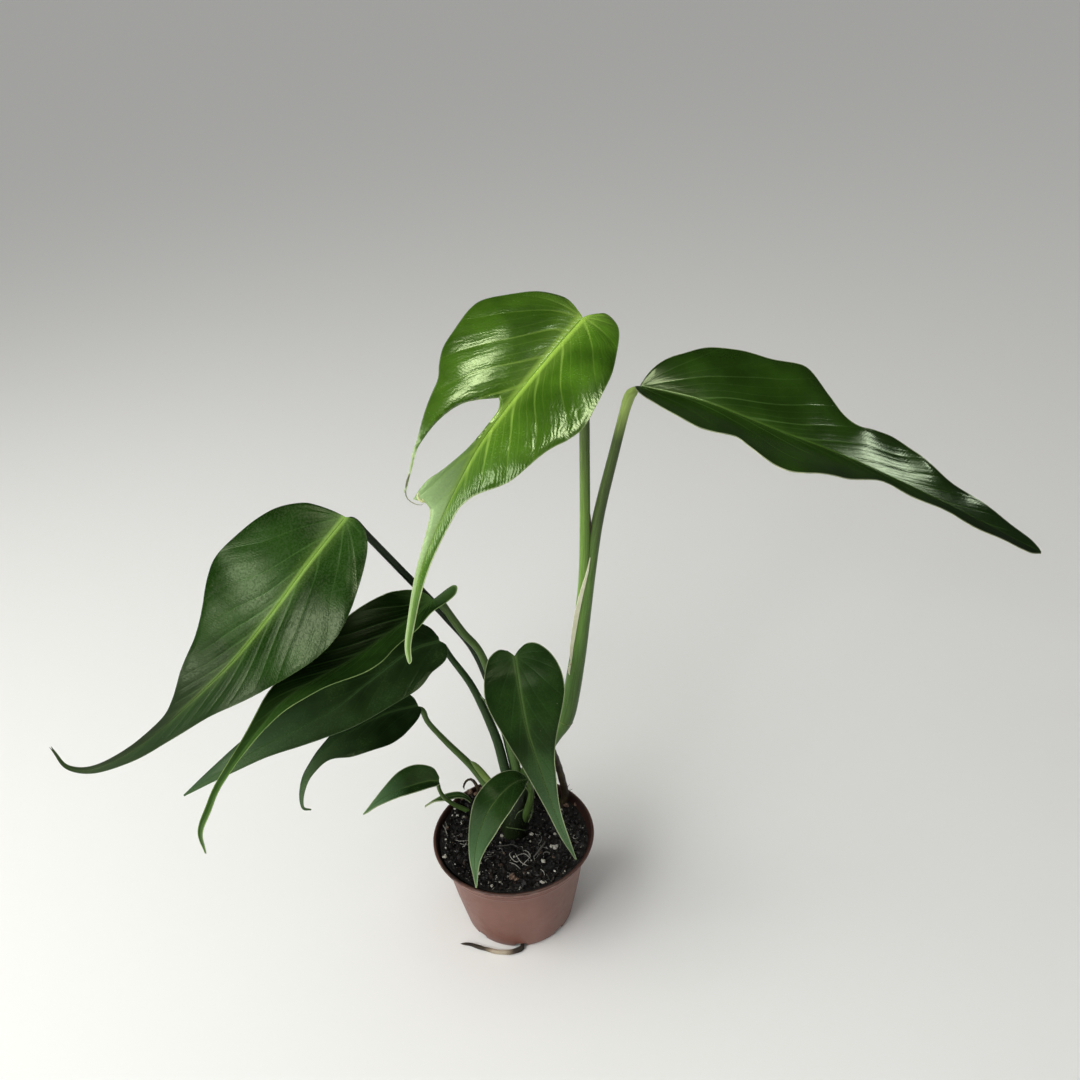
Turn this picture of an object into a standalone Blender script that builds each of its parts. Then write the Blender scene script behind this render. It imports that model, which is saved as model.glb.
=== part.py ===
"""A young potted monstera: nine drip-tipped leaves on long petioles in a small nursery pot.

Lengths are in millimetres until a mesh is made; the origin is the centre of the pot's flat
underside, +Z is up and the viewer of the plant stands at -Y.
"""

import math
from dataclasses import dataclass, field

import bmesh
import bpy
from mathutils import Vector

MM = 0.001
SEAT = 0.5                  # growth of a part before it is cut out of its neighbour

# Pot: a 9 cm thin plastic nursery pot
POT_HEIGHT = 58.0
RIM_RADIUS = 44.6
BASE_RADIUS = 30.6
MIDDLE_RADIUS = 35.0
MIDDLE_HEIGHT = 24.0
BODY_TOP_RADIUS = 38.8
COLLAR_RADIUS = 40.2        # foot of the stiffened band below the rim
COLLAR_HEIGHT = 11.0
WALL = 1.2
FLOOR = 1.6
NOTCHES = 8                 # drain notches in the foot, the first towards the viewer
NOTCH_WIDTH = 6.6
NOTCH_HEIGHT = 4.0
POT_SEGMENTS = 56

# Soil
SOIL_LEVEL = 54.0
SOIL_GAP = 0.3

# Leaves
BLADE = 0.7                 # thickness of a blade
RIB_WIDTH = 1.1             # half width of the midrib below the blade
RIB_DEPTH = 1.3             # depth of the midrib at the leaf's base

TERRACOTTA = (0.205, 0.085, 0.065)
PEAT = (0.012, 0.010, 0.009)
YOUNG_GREEN = (0.150, 0.300, 0.030)
MID_GREEN = (0.035, 0.095, 0.018)
DEEP_GREEN = (0.020, 0.060, 0.014)
STEM_GREEN = (0.075, 0.140, 0.035)
ROOT_BROWN = (0.060, 0.040, 0.025)


@dataclass(frozen=True)
class Leaf:
    """One leaf: where its midrib runs, which way it faces and its flat outline.

    `left` and `right` are (along, out) points of the two margins from the petiole to the
    tip, measured on the flattened blade. `fold` lifts each half from the midrib in degrees
    at the base, the middle and the tip; `droop` bends each half down per 10 mm.
    """

    name: str
    colour: tuple
    midrib: tuple
    face: tuple
    left: tuple
    right: tuple
    fold: tuple = (8.0, 8.0, 10.0)
    droop: tuple = (3.0, 3.0, 0.0)
    wave: float = 0.5
    rows: int = 24
    notch: tuple = field(default=())


LEAVES = (
    Leaf(
        name="leaf_1",
        colour=YOUNG_GREEN,
        midrib=((49, 6, 346), (31, -18, 336), (13, -38, 323), (-1, -52, 309),
                (-21, -67, 276), (-31, -71, 243), (-32, -71, 229)),
        face=((0.10, -0.45, 0.85), (0.0, -0.70, 0.70), (-0.10, -0.90, 0.40)),
        left=((-4, 3.6), (-6, 8), (-2, 15), (4, 20), (16, 25), (28, 29), (48, 32),
              (58, 30), (66, 26), (84, 19), (98, 7), (115, 4), (169, 1.6), (176, 0.4)),
        right=((-1.5, 3.6), (-3.5, 9), (-2.5, 14), (3, 22), (14, 29.5), (26, 36), (35, 37.5),
               (50, 36), (65, 28.5), (85, 22.6), (100, 19.4), (106, 17.6), (107.5, 12),
               (107, 8.6), (110, 5), (118, 3.2), (131, 2), (150, 1.2), (172, 1), (176, 0.4)),
        fold=(18.0, 15.0, 10.0),
        rows=36,
        notch=((57.5, 6.2, 58, 3.4), (62, 11, 61, 2.2), (67, 14.8, 67, 2.2), (73, 17.4, 74, 2.4),
               (80, 19.2, 81, 3.6), (88, 19.9, 88, 6.2), (94, 19.4, 94, 10), (99, 18.3, 99, 11.8),
               (104, 16.4, 103, 11.2), (113, 15, 112, 11)),
    ),
    Leaf(
        name="leaf_2",
        colour=MID_GREEN,
        midrib=((73, 5, 314), (100, 0, 307), (131, -6, 294), (163, -10, 280),
                (207, -15, 257), (252, -20, 231)),
        face=((0.30, -0.32, 0.90), (0.20, -0.32, 0.90), (0.30, -0.50, 0.80)),
        left=((0, 1.3), (3, 9), (9, 17), (16, 23), (24, 29), (34, 32), (48, 36), (64, 39),
              (73, 38), (84, 29), (92, 21), (99, 18), (107, 19.5), (117, 21), (128, 18),
              (143, 13), (160, 10), (189, 5), (197, 2.4), (200, 0.5)),
        right=((0, 1.3), (1, 7), (5, 15), (13, 24), (24, 28.5), (34, 28), (43, 27), (50, 31),
               (62, 34.5), (72, 33), (91, 23), (109, 12), (122, 9), (145, 7.6), (170, 6.6),
               (192, 4), (200, 0.5)),
        fold=(22.0, 20.0, 12.0),
        wave=0.8,
        rows=34,
    ),
    Leaf(
        name="leaf_3",
        colour=DEEP_GREEN,
        midrib=((-64, 5, 259), (-81, -12, 245), (-98, -24, 228), (-118, -31, 208),
                (-137, -37, 193), (-154, -41, 180), (-171, -44, 169), (-189, -46, 162),
                (-201, -46, 164), (-206, -44, 173)),
        face=((0.10, -0.60, 0.80), (0.0, -0.70, 0.70), (0.0, -0.80, 0.60)),
        left=((0, 1.3), (0, 6), (2, 13), (7, 18), (14, 22), (28, 28), (43, 32), (67, 28),
              (94, 17), (124, 10), (150, 5), (175, 1.6), (196, 0.4)),
        right=((0, 1.3), (1, 7), (3, 14), (10, 25), (22, 31), (48, 36), (60, 37), (77, 28),
               (98, 20), (112, 11), (128, 4.5), (145, 3), (175, 1.6), (196, 0.4)),
        fold=(10.0, 10.0, 10.0),
        droop=(4.0, 4.0, 0.0),
        rows=34,
    ),
    Leaf(
        name="leaf_4",
        colour=DEEP_GREEN,
        midrib=((-29.7, 14, 204.7), (-41, 9, 198), (-51.3, 2.5, 194.5), (-69, -11, 189.5),
                (-94, -31, 187), (-107, -43, 180), (-125, -61, 164), (-133, -66, 151),
                (-139, -68, 139), (-139, -69, 127)),
        face=((0.0, -0.30, 0.90), (0.0, -0.30, 0.90), (-0.30, -0.50, 0.60)),
        left=((-9, 0.8), (-12.5, 2.5), (-13.5, 7), (-10.5, 12.5), (-4, 14), (3, 13),
              (10, 14), (24, 15.5), (34, 18), (43, 20), (60, 16), (78, 11), (98, 5),
              (119, 1.8), (160, 1.8), (173, 0.4)),
        right=((0, 1.5), (0.5, 4), (3, 9), (9, 14), (18, 17.5), (38, 19), (64, 14), (91, 8),
               (110, 4), (130, 2.4), (155, 2), (173, 0.4)),
        fold=(35.0, 30.0, 12.0),
        rows=28,
    ),
    Leaf(
        name="leaf_5",
        colour=DEEP_GREEN,
        midrib=((-30, 22, 174), (-45, 16, 173), (-65, 4, 165), (-84, -8, 157),
                (-102, -18, 154), (-120, -26, 150), (-139, -32, 142), (-157, -35, 132)),
        face=((0.10, -0.50, 0.80), (0.0, -0.40, 0.85), (0.0, -0.50, 0.80)),
        left=((0, 1.3), (-1, 4), (1, 10), (5, 14), (13, 17), (25, 20), (38, 19), (60, 15),
              (89, 9), (114, 5), (136, 2), (148, 0.4)),
        right=((0, 1.3), (0, 3), (3, 9), (12, 15), (25, 18), (38, 18), (60, 14), (89, 9),
               (124, 5), (140, 2), (148, 0.4)),
        rows=24,
    ),
    Leaf(
        name="leaf_6",
        colour=DEEP_GREEN,
        midrib=((-46, 22, 133), (-64, 12, 136), (-87, -6, 135), (-99, -16, 127),
                (-104, -20, 117), (-105, -22, 107), (-101, -22, 105)),
        face=((0.10, -0.50, 0.80), (0.0, -0.50, 0.80), (-0.30, -0.50, 0.60)),
        left=((0, 1.3), (-1, 3), (3, 8), (10, 13), (18, 16), (30, 17), (47, 13), (58, 6),
              (68, 3.6), (84, 1.5), (95, 0.4)),
        right=((0, 1.3), (1, 5), (6, 10), (14, 14), (26, 14), (38, 9), (50, 4), (64, 2.2),
               (84, 1.2), (95, 0.4)),
        rows=22,
    ),
    Leaf(
        name="leaf_7",
        colour=MID_GREEN,
        midrib=((-40, 20, 80), (-48, 19, 81), (-64, 14, 80), (-74, 10, 77), (-82, 5, 73)),
        face=((0.0, -0.20, 0.95), (0.0, -0.20, 0.95), (-0.10, -0.40, 0.80)),
        left=((0, 1.3), (0, 3.5), (3, 6), (10, 8), (24, 7), (37, 3), (43, 1.4), (46, 0.4)),
        right=((0, 1.3), (0, 3), (4, 8), (11, 11), (20, 10), (30, 5), (38, 2), (46, 0.4)),
        fold=(26.0, 26.0, 12.0),
        wave=0.2,
        rows=14,
    ),
    Leaf(
        name="leaf_8",
        colour=MID_GREEN,
        midrib=((9, -6, 182), (10, -14, 176), (11, -20, 168), (13, -26, 152),
                (16, -28, 137), (25, -29, 94), (33, -26, 62)),
        face=((0.0, -0.60, 0.75), (0.0, -0.80, 0.50), (0.10, -0.90, 0.40)),
        left=((-3, 3), (-5, 7), (-4, 12), (1, 17), (9, 21), (17, 22), (26, 20),
              (53, 10), (67, 7), (88, 3.4), (112, 1.8), (131, 0.4)),
        right=((-3, 3), (-4, 7), (-2, 11), (2, 14), (12, 17), (22, 17), (41, 11),
               (57, 8), (88, 3.8), (112, 2.2), (131, 0.4)),
        fold=(14.0, 12.0, 12.0),
        droop=(4.0, 4.0, 0.0),
        rows=24,
    ),
    Leaf(
        name="leaf_9",
        colour=DEEP_GREEN,
        midrib=((10, -8, 103), (4, -14, 107), (-4, -23, 107), (-12, -31, 100),
                (-18, -39, 85), (-19, -45, 66)),
        face=((-0.10, -0.40, 0.90), (-0.20, -0.70, 0.70), (-0.20, -0.80, 0.60)),
        left=((0, 1.3), (3, 3), (10, 7), (24, 10), (38, 9), (50, 5.5), (60, 2.6), (73, 0.4)),
        right=((0, 1.3), (0, 3), (5, 6), (14, 9), (28, 9.5), (38, 7), (50, 4), (62, 2),
               (73, 0.4)),
        fold=(12.0, 10.0, 10.0),
        droop=(4.0, 4.0, 0.0),
        wave=0.2,
        rows=16,
    ),
)

# Stems as (x, y, z, radius) from the soil upwards
TRUNK = ((0, 4.5, 41, 7.0), (0.2, 4.5, 52, 7.2), (1.7, 5, 62, 6.9), (4.3, 7, 75, 6.0),
         (8.3, 9, 86, 5.2), (14, 11, 96.5, 4.7), (25.3, 14, 113, 4.4), (32, 15, 123, 4.7),
         (36.2, 15.5, 138.5, 4.5), (41.6, 16, 169, 4.1), (48, 15, 213.5, 3.4),
         (53.6, 13.5, 246.5, 2.8), (61.4, 11, 280, 2.4), (67.6, 8, 306, 2.2),
         (70.4, 6.6, 311.4, 2.0), (72.2, 5.4, 313.4, 1.6))
NODE_RING = ((31.3, 14.9, 121.9, 4.4), (31.9, 15, 122.9, 5.2), (32.3, 15, 124, 4.5))
PETIOLE_1 = ((39.5, 15, 165, 2.5), (43.4, 14.5, 195, 2.6), (45.5, 13.5, 214, 2.6),
             (47, 12.7, 245, 2.5), (48.4, 12, 292, 2.4), (49.2, 10.6, 323, 2.3),
             (49.1, 8, 340, 2.0), (49, 6.3, 345.4, 1.6))
PETIOLE_3 = ((5, 9, 80, 2.6), (2, 15, 101, 2.6), (-2, 18, 126, 2.5), (-11.5, 21, 164.5, 2.1),
             (-25.3, 22, 189, 2.0), (-44.7, 17, 222.6, 1.9), (-55.5, 10.4, 244.4, 1.8),
             (-60.6, 7, 255, 1.7), (-63.3, 5.4, 258.6, 1.4))
PETIOLE_4 = ((6, 9, 80, 2.6), (2.9, 13.5, 101.6, 2.5), (-0.5, 16, 124, 2.3),
             (-8.3, 17.5, 165, 2.0), (-17.5, 17.3, 182.5, 2.0), (-26, 15.6, 201, 1.9),
             (-29.3, 14.2, 204.2, 1.5))
PETIOLE_5 = ((2, 7, 74, 2.6), (-2, 12, 92.5, 2.7), (-6, 17, 113.5, 2.5), (-15.2, 20.5, 143, 2.0),
             (-24.5, 22, 161.5, 1.7), (-28.4, 22, 170, 1.6), (-29.8, 22, 173.4, 1.3))
PETIOLE_6 = ((0, 6, 66, 2.6), (-7, 9.5, 73, 2.9), (-20, 18, 90, 2.1), (-33, 21, 107, 1.7),
             (-41.5, 22, 120.5, 1.5), (-43.6, 22, 128.6, 1.5), (-45.4, 22, 132.4, 1.2))
PETIOLE_8 = ((15, 10.5, 100, 2.4), (13.9, 6, 124.6, 2.2), (12, 1, 145.6, 2.0),
             (10.2, -2.8, 165, 1.8), (9.2, -5.4, 180.6, 1.4))
PETIOLE_9 = ((4, 4, 58, 2.4), (8.4, 0.8, 72, 2.1), (11.4, -3, 86.5, 1.7), (11.5, -6, 96.5, 1.5),
             (10.3, -7.6, 102, 1.2))
PETIOLE_7 = ((-21, 20, 50, 1.6), (-25, 20, 55.5, 1.5), (-33.4, 20, 62, 1.3),
             (-38.5, 20, 68, 1.2), (-40.6, 20, 74.5, 1.1), (-40.4, 20, 79.8, 1.0))
AERIAL_ROOT = ((22, 14.6, 109, 1.7), (24.6, 19, 97, 1.9), (26.8, 22, 85.6, 1.9),
               (29, 24.2, 71, 2.0), (30, 24.8, 60, 2.1), (28.4, 23.2, 53, 2.1),
               (25.6, 21, 47, 2.0))
LOOP_ROOT = ((-19, 31, 50, 1.1), (-20.6, 35, 60, 1.0), (-23.4, 37, 64, 0.8),
             (-26.6, 37, 63.6, 0.7), (-28.4, 35.6, 61, 0.7), (-28.2, 34.2, 59.3, 0.7))
DRAIN_ROOT = ((0.2, -26.6, 1.8, 1.2), (0.8, -29, 1.7, 1.3), (0.4, -31.8, 1.6, 1.4),
              (-5, -33.8, 1.6, 1.5), (-12, -33.4, 1.5, 1.4), (-20, -30.6, 1.4, 1.2),
              (-29, -26.6, 1.2, 1.0), (-34, -25.8, 1.1, 0.7))


def clear_scene() -> None:
    """Remove every object of the start-up scene."""
    for item in list(bpy.data.objects):
        bpy.data.objects.remove(item, do_unlink=True)


def make_material(name: str, colour: tuple, roughness: float) -> bpy.types.Material:
    """A plain Principled material."""
    material = bpy.data.materials.new(name)
    material.use_nodes = True
    shader = material.node_tree.nodes["Principled BSDF"]
    shader.inputs["Base Color"].default_value = (*colour, 1.0)
    shader.inputs["Roughness"].default_value = roughness
    shader.inputs["Metallic"].default_value = 0.0
    return material


def add_object(name: str, points: list, faces: list, material=None) -> bpy.types.Object:
    """Make an object from millimetre points, with its faces turned outward."""
    mesh = bpy.data.meshes.new(name)
    mesh.from_pydata([Vector(point) * MM for point in points], [], faces)
    body = bmesh.new()
    body.from_mesh(mesh)
    bmesh.ops.recalc_face_normals(body, faces=body.faces)
    if body.calc_volume(signed=True) < 0.0:
        bmesh.ops.reverse_faces(body, faces=body.faces)
    body.to_mesh(mesh)
    body.free()
    item = bpy.data.objects.new(name, mesh)
    bpy.context.collection.objects.link(item)
    if material is not None:
        item.data.materials.append(material)
    return item


def apply_boolean(target: bpy.types.Object, operand, operation: str, solver: str) -> None:
    """Apply one Boolean with an object or a collection and remove what it used."""
    modifier = target.modifiers.new("boolean", "BOOLEAN")
    modifier.operation = operation
    modifier.solver = solver
    if isinstance(operand, bpy.types.Collection):
        modifier.operand_type = "COLLECTION"
        modifier.collection = operand
        used = list(operand.objects)
    else:
        modifier.object = operand
        used = [operand]
    bpy.context.view_layer.update()
    graph = bpy.context.evaluated_depsgraph_get()
    result = bpy.data.meshes.new_from_object(target.evaluated_get(graph))
    target.modifiers.clear()
    target.data = result
    for item in used:
        bpy.data.objects.remove(item, do_unlink=True)
    if isinstance(operand, bpy.types.Collection):
        bpy.data.collections.remove(operand)


def cut(target: bpy.types.Object, cutter: bpy.types.Object, solver: str = "EXACT") -> None:
    """Take one body out of another."""
    apply_boolean(target, cutter, "DIFFERENCE", solver)


def fuse(target: bpy.types.Object, others: list) -> None:
    """Join overlapping bodies into one closed body."""
    group = bpy.data.collections.new("fused")
    bpy.context.scene.collection.children.link(group)
    for item in others:
        for owner in list(item.users_collection):
            owner.objects.unlink(item)
        group.objects.link(item)
    apply_boolean(target, group, "UNION", "EXACT")


def grown_copy(source: bpy.types.Object, amount: float) -> bpy.types.Object:
    """A copy of a body swollen along its normals, used as a cutter."""
    body = bmesh.new()
    body.from_mesh(source.data)
    body.normal_update()
    for vertex in body.verts:
        vertex.co += vertex.normal * amount * MM
    mesh = bpy.data.meshes.new("cutter")
    body.to_mesh(mesh)
    body.free()
    item = bpy.data.objects.new("cutter", mesh)
    bpy.context.collection.objects.link(item)
    item.hide_render = True
    item.display_type = "WIRE"
    return item


def smooth_line(points: tuple, steps: int) -> list:
    """Catmull-Rom curve through points of any size, with `steps` samples a span."""
    known = [tuple(float(value) for value in point) for point in points]
    first = tuple(2 * a - b for a, b in zip(known[0], known[1]))
    last = tuple(2 * a - b for a, b in zip(known[-1], known[-2]))
    known = [first, *known, last]
    line = []
    for i in range(1, len(known) - 2):
        for k in range(steps):
            t = k / steps
            sample = []
            for a, b, c, d in zip(known[i - 1], known[i], known[i + 1], known[i + 2]):
                sample.append(0.5 * (2 * b + (c - a) * t + (2 * a - 5 * b + 4 * c - d) * t * t
                                     + (3 * b - a - 3 * c + d) * t ** 3))
            line.append(tuple(sample))
    line.append(known[-2])
    return line


def spaced(line: list, count: int) -> list:
    """Resample a line to `count` + 1 points at equal distances."""
    reach = [0.0]
    for a, b in zip(line, line[1:]):
        reach.append(reach[-1] + math.dist(a, b))
    result = []
    span = 0
    for k in range(count + 1):
        wanted = reach[-1] * k / count
        while span < len(line) - 2 and reach[span + 1] < wanted:
            span += 1
        length = reach[span + 1] - reach[span]
        t = (wanted - reach[span]) / length if length else 0.0
        result.append(tuple(a + (b - a) * t for a, b in zip(line[span], line[span + 1])))
    return result


def mix(values: tuple, t: float):
    """Blend three values given at the base, the middle and the tip."""
    t = min(max(t, 0.0), 1.0) * 2.0
    start, end = (values[0], values[1]) if t < 1.0 else (values[1], values[2])
    t = t if t < 1.0 else t - 1.0
    if isinstance(start, tuple):
        return tuple(a + (b - a) * t for a, b in zip(start, end))
    return start + (end - start) * t


def lathe(name: str, profile: list, material=None) -> bpy.types.Object:
    """Turn a profile of (radius, height) points, from axis to axis, about Z."""
    points = []
    faces = []
    for radius, height in profile[1:-1]:
        for k in range(POT_SEGMENTS):
            angle = math.tau * k / POT_SEGMENTS
            points.append((radius * math.cos(angle), radius * math.sin(angle), height))
    rings = len(profile) - 2
    for i in range(rings - 1):
        for k in range(POT_SEGMENTS):
            a = i * POT_SEGMENTS + k
            b = i * POT_SEGMENTS + (k + 1) % POT_SEGMENTS
            faces.append((a, b, b + POT_SEGMENTS, a + POT_SEGMENTS))
    points.append((0.0, 0.0, profile[0][1]))
    points.append((0.0, 0.0, profile[-1][1]))
    for k in range(POT_SEGMENTS):
        turn = (k + 1) % POT_SEGMENTS
        faces.append((k, turn, len(points) - 2))
        top = (rings - 1) * POT_SEGMENTS
        faces.append((top + k, top + turn, len(points) - 1))
    return add_object(name, points, faces, material)


def tube(name: str, path: tuple, sides: int, steps: int, material=None) -> bpy.types.Object:
    """A round stem through (x, y, z, radius) points with shallow domed ends."""
    line = smooth_line(path, steps)
    centres = [Vector(sample[:3]) for sample in line]
    radii = [sample[3] for sample in line]
    along = []
    for i, centre in enumerate(centres):
        before = centres[max(i - 1, 0)]
        after = centres[min(i + 1, len(centres) - 1)]
        along.append((after - before).normalized())
    across = along[0].orthogonal().normalized()
    points = []
    for centre, radius, direction in zip(centres, radii, along):
        across = (across - direction * across.dot(direction)).normalized()
        other = direction.cross(across)
        for k in range(sides):
            angle = math.tau * k / sides
            offset = across * math.cos(angle) + other * math.sin(angle)
            points.append(centre + offset * radius)
    faces = []
    for i in range(len(centres) - 1):
        for k in range(sides):
            a = i * sides + k
            b = i * sides + (k + 1) % sides
            faces.append((a, b, b + sides, a + sides))
    points.append(centres[0] - along[0] * radii[0] * 0.3)
    points.append(centres[-1] + along[-1] * radii[-1] * 0.3)
    last = (len(centres) - 1) * sides
    for k in range(sides):
        turn = (k + 1) % sides
        faces.append((k, turn, len(points) - 2))
        faces.append((last + k, last + turn, len(points) - 1))
    return add_object(name, points, faces, material)


class Blade:
    """The curved surface of a leaf, addressed by flat (along, out) coordinates."""

    def __init__(self, leaf: Leaf) -> None:
        self.leaf = leaf
        line = smooth_line(leaf.midrib, 12)
        self.length = sum(math.dist(a, b) for a, b in zip(line, line[1:]))
        self.stations = [Vector(sample) for sample in spaced(line, 120)]
        self.frames = []
        for i in range(len(self.stations)):
            before = self.stations[max(i - 1, 0)]
            after = self.stations[min(i + 1, len(self.stations) - 1)]
            ahead = (after - before).normalized()
            face = Vector(mix(leaf.face, i / (len(self.stations) - 1)))
            up = (face - ahead * face.dot(ahead)).normalized()
            self.frames.append((ahead, up, up.cross(ahead)))

    def place(self, along: float, out: float, side: int) -> tuple:
        """Return the point and the surface normal at a flat position of one half."""
        inside = min(max(along, 0.0), self.length)
        position = inside / self.length * (len(self.stations) - 1)
        index = min(int(position), len(self.stations) - 2)
        t = position - index
        centre = self.stations[index].lerp(self.stations[index + 1], t)
        ahead, up, left = (a.lerp(b, t).normalized() for a, b in
                           zip(self.frames[index], self.frames[index + 1]))
        share = inside / self.length
        start = math.radians(mix(self.leaf.fold, share))
        bend = -math.radians(mix(self.leaf.droop, share)) / 10.0
        if abs(bend) < 1e-6:
            bend = -1e-6
        turned = start + bend * out
        sideways = (math.sin(turned) - math.sin(start)) / bend
        lifted = (math.cos(start) - math.cos(turned)) / bend
        point = centre + ahead * (along - inside) + left * side * sideways + up * lifted
        normal = (up * math.cos(turned) - left * side * math.sin(turned)).normalized()
        return point, normal


def blade_columns(width: float) -> list:
    """Shares of a half blade's width at which it is divided, the midrib's edge first."""
    rib = min(RIB_WIDTH / width, 0.45)
    return [rib + (1.0 - rib) * share for share in (0.0, 0.34, 0.68, 1.0)]


def slab(name: str, grid: list, thickness, material=None) -> bpy.types.Object:
    """Close a grid of (point, normal) samples into a slab, triangulated alike on both faces."""
    rows = len(grid)
    columns = len(grid[0])
    points = []
    for layer in (1.0, -1.0):
        for i, row in enumerate(grid):
            for column, (point, normal) in enumerate(row):
                points.append(point + normal * layer * thickness(layer, i, column))
    below = rows * columns
    faces = []
    for i in range(rows - 1):
        for j in range(columns - 1):
            a = i * columns + j
            b, c, d = a + 1, a + columns + 1, a + columns
            halves = ((a, b, c), (a, c, d)) if j < columns // 2 else ((a, b, d), (b, c, d))
            for triangle in halves:
                faces.append(triangle)
                faces.append(tuple(index + below for index in reversed(triangle)))
    rim = list(range(columns))
    rim += [i * columns + columns - 1 for i in range(1, rows)]
    rim += [(rows - 1) * columns + j for j in range(columns - 2, -1, -1)]
    rim += [i * columns for i in range(rows - 2, 0, -1)]
    for a, b in zip(rim, rim[1:] + rim[:1]):
        faces.append((a, b, b + below))
        faces.append((a, b + below, a + below))
    return add_object(name, points, faces, material)


def make_leaf(leaf: Leaf, material: bpy.types.Material) -> bpy.types.Object:
    """Model one leaf: the blade with its midrib, and the deep split where it has one."""
    blade = Blade(leaf)
    margins = {}
    for side, outline in ((1, leaf.left), (-1, leaf.right)):
        margins[side] = spaced(smooth_line(outline, 8), leaf.rows)
    grid = []
    for i in range(leaf.rows + 1):
        share_along = (i / leaf.rows) ** 1.3
        root = blade.length * share_along
        halves = []
        for side in (1, -1):
            edge_along, edge_out = margins[side][i]
            half = []
            for share in blade_columns(max(abs(edge_out), 0.5)):
                along = root + (edge_along - root) * share
                point, normal = blade.place(along, edge_out * share, side)
                ripple = math.sin(along * 0.19 + side) * leaf.wave * share * share
                ripple *= min(edge_out / 12.0, 1.0)
                half.append((point + normal * ripple, normal))
            halves.append(half)
        centre = (blade.place(root, 0.0, 1)[0], blade.frames[round(120 * share_along)][1])
        grid.append([*reversed(halves[0]), centre, *halves[1]])
    middle = len(grid[0]) // 2

    def thickness(layer: float, row: int, column: int) -> float:
        if layer > 0.0 or column != middle:
            return BLADE / 2.0
        return BLADE / 2.0 + RIB_DEPTH * (1.0 - row / leaf.rows) ** 0.8

    item = slab(leaf.name, grid, thickness, material)
    if leaf.notch:
        opening = []
        for a_along, a_out, b_along, b_out in smooth_line(leaf.notch, 3):
            line = []
            for k in range(7):
                t = k / 6.0
                line.append(blade.place(a_along + (b_along - a_along) * t,
                                        a_out + (b_out - a_out) * t, -1))
            opening.append(line)
        cutter = slab("cutter", opening, lambda layer, row, column: 4.0)
        cut(item, cutter)
    return item


def make_pot(material: bpy.types.Material) -> bpy.types.Object:
    """Thin tapered pot with a rolled rim, a stiffened collar and drain notches in its foot."""
    waist = POT_HEIGHT - COLLAR_HEIGHT
    top = POT_HEIGHT
    profile = [(0.0, 0.0), (BASE_RADIUS - 2.6, 0.0), (BASE_RADIUS - 0.8, 0.8),
               (BASE_RADIUS, 2.6), (MIDDLE_RADIUS, MIDDLE_HEIGHT), (BODY_TOP_RADIUS, waist - 0.8),
               (COLLAR_RADIUS - 0.6, waist), (COLLAR_RADIUS, waist + 0.8),
               (RIM_RADIUS - 1.5, top - 2.4), (RIM_RADIUS - 0.3, top - 1.9),
               (RIM_RADIUS, top - 1.1), (RIM_RADIUS - 0.3, top - 0.3), (RIM_RADIUS - 0.9, top),
               (RIM_RADIUS - 1.9, top - 0.4), (RIM_RADIUS - 2.5, top - 2.4),
               (COLLAR_RADIUS - WALL, waist + 1.4), (BODY_TOP_RADIUS - WALL, waist - 1.6),
               (MIDDLE_RADIUS - WALL, MIDDLE_HEIGHT), (BASE_RADIUS - WALL, FLOOR + 1.1),
               (BASE_RADIUS - WALL - 1.2, FLOOR), (0.0, FLOOR)]
    pot = lathe("pot", profile, material)
    for k in range(NOTCHES):
        notch = block("cutter", (BASE_RADIUS - 6.0, -NOTCH_WIDTH / 2, -1.0),
                      (BASE_RADIUS + 3.0, NOTCH_WIDTH / 2, NOTCH_HEIGHT), 360.0 * k / NOTCHES - 90.0)
        cut(pot, notch)
    return pot


def block(name: str, low: tuple, high: tuple, angle: float) -> bpy.types.Object:
    """A box between two corners, turned about the pot's axis."""
    turn = math.radians(angle)
    points = []
    for z in (low[2], high[2]):
        for x, y in ((low[0], low[1]), (high[0], low[1]), (high[0], high[1]), (low[0], high[1])):
            points.append((x * math.cos(turn) - y * math.sin(turn),
                           x * math.sin(turn) + y * math.cos(turn), z))
    faces = [(0, 1, 2, 3), (4, 5, 6, 7), (0, 1, 5, 4), (1, 2, 6, 5), (2, 3, 7, 6), (3, 0, 4, 7)]
    return add_object(name, points, faces)


def soil_height(x: float, y: float) -> float:
    """Height of the soil: nearly level, a mound at the back left and small crumbs."""
    level = SOIL_LEVEL - 0.032 * x - 0.015 * y
    mound = 4.2 * math.exp(-((x + 24.0) ** 2 + (y - 27.0) ** 2) / 120.0)
    crumbs = 0.45 * math.sin(x * 0.83 + 1.3) * math.sin(y * 0.71 + x * 0.17)
    crumbs += 0.30 * math.sin(x * 1.9 - y * 1.3) * math.sin(y * 1.7 + 0.6)
    return level + mound + crumbs


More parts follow.
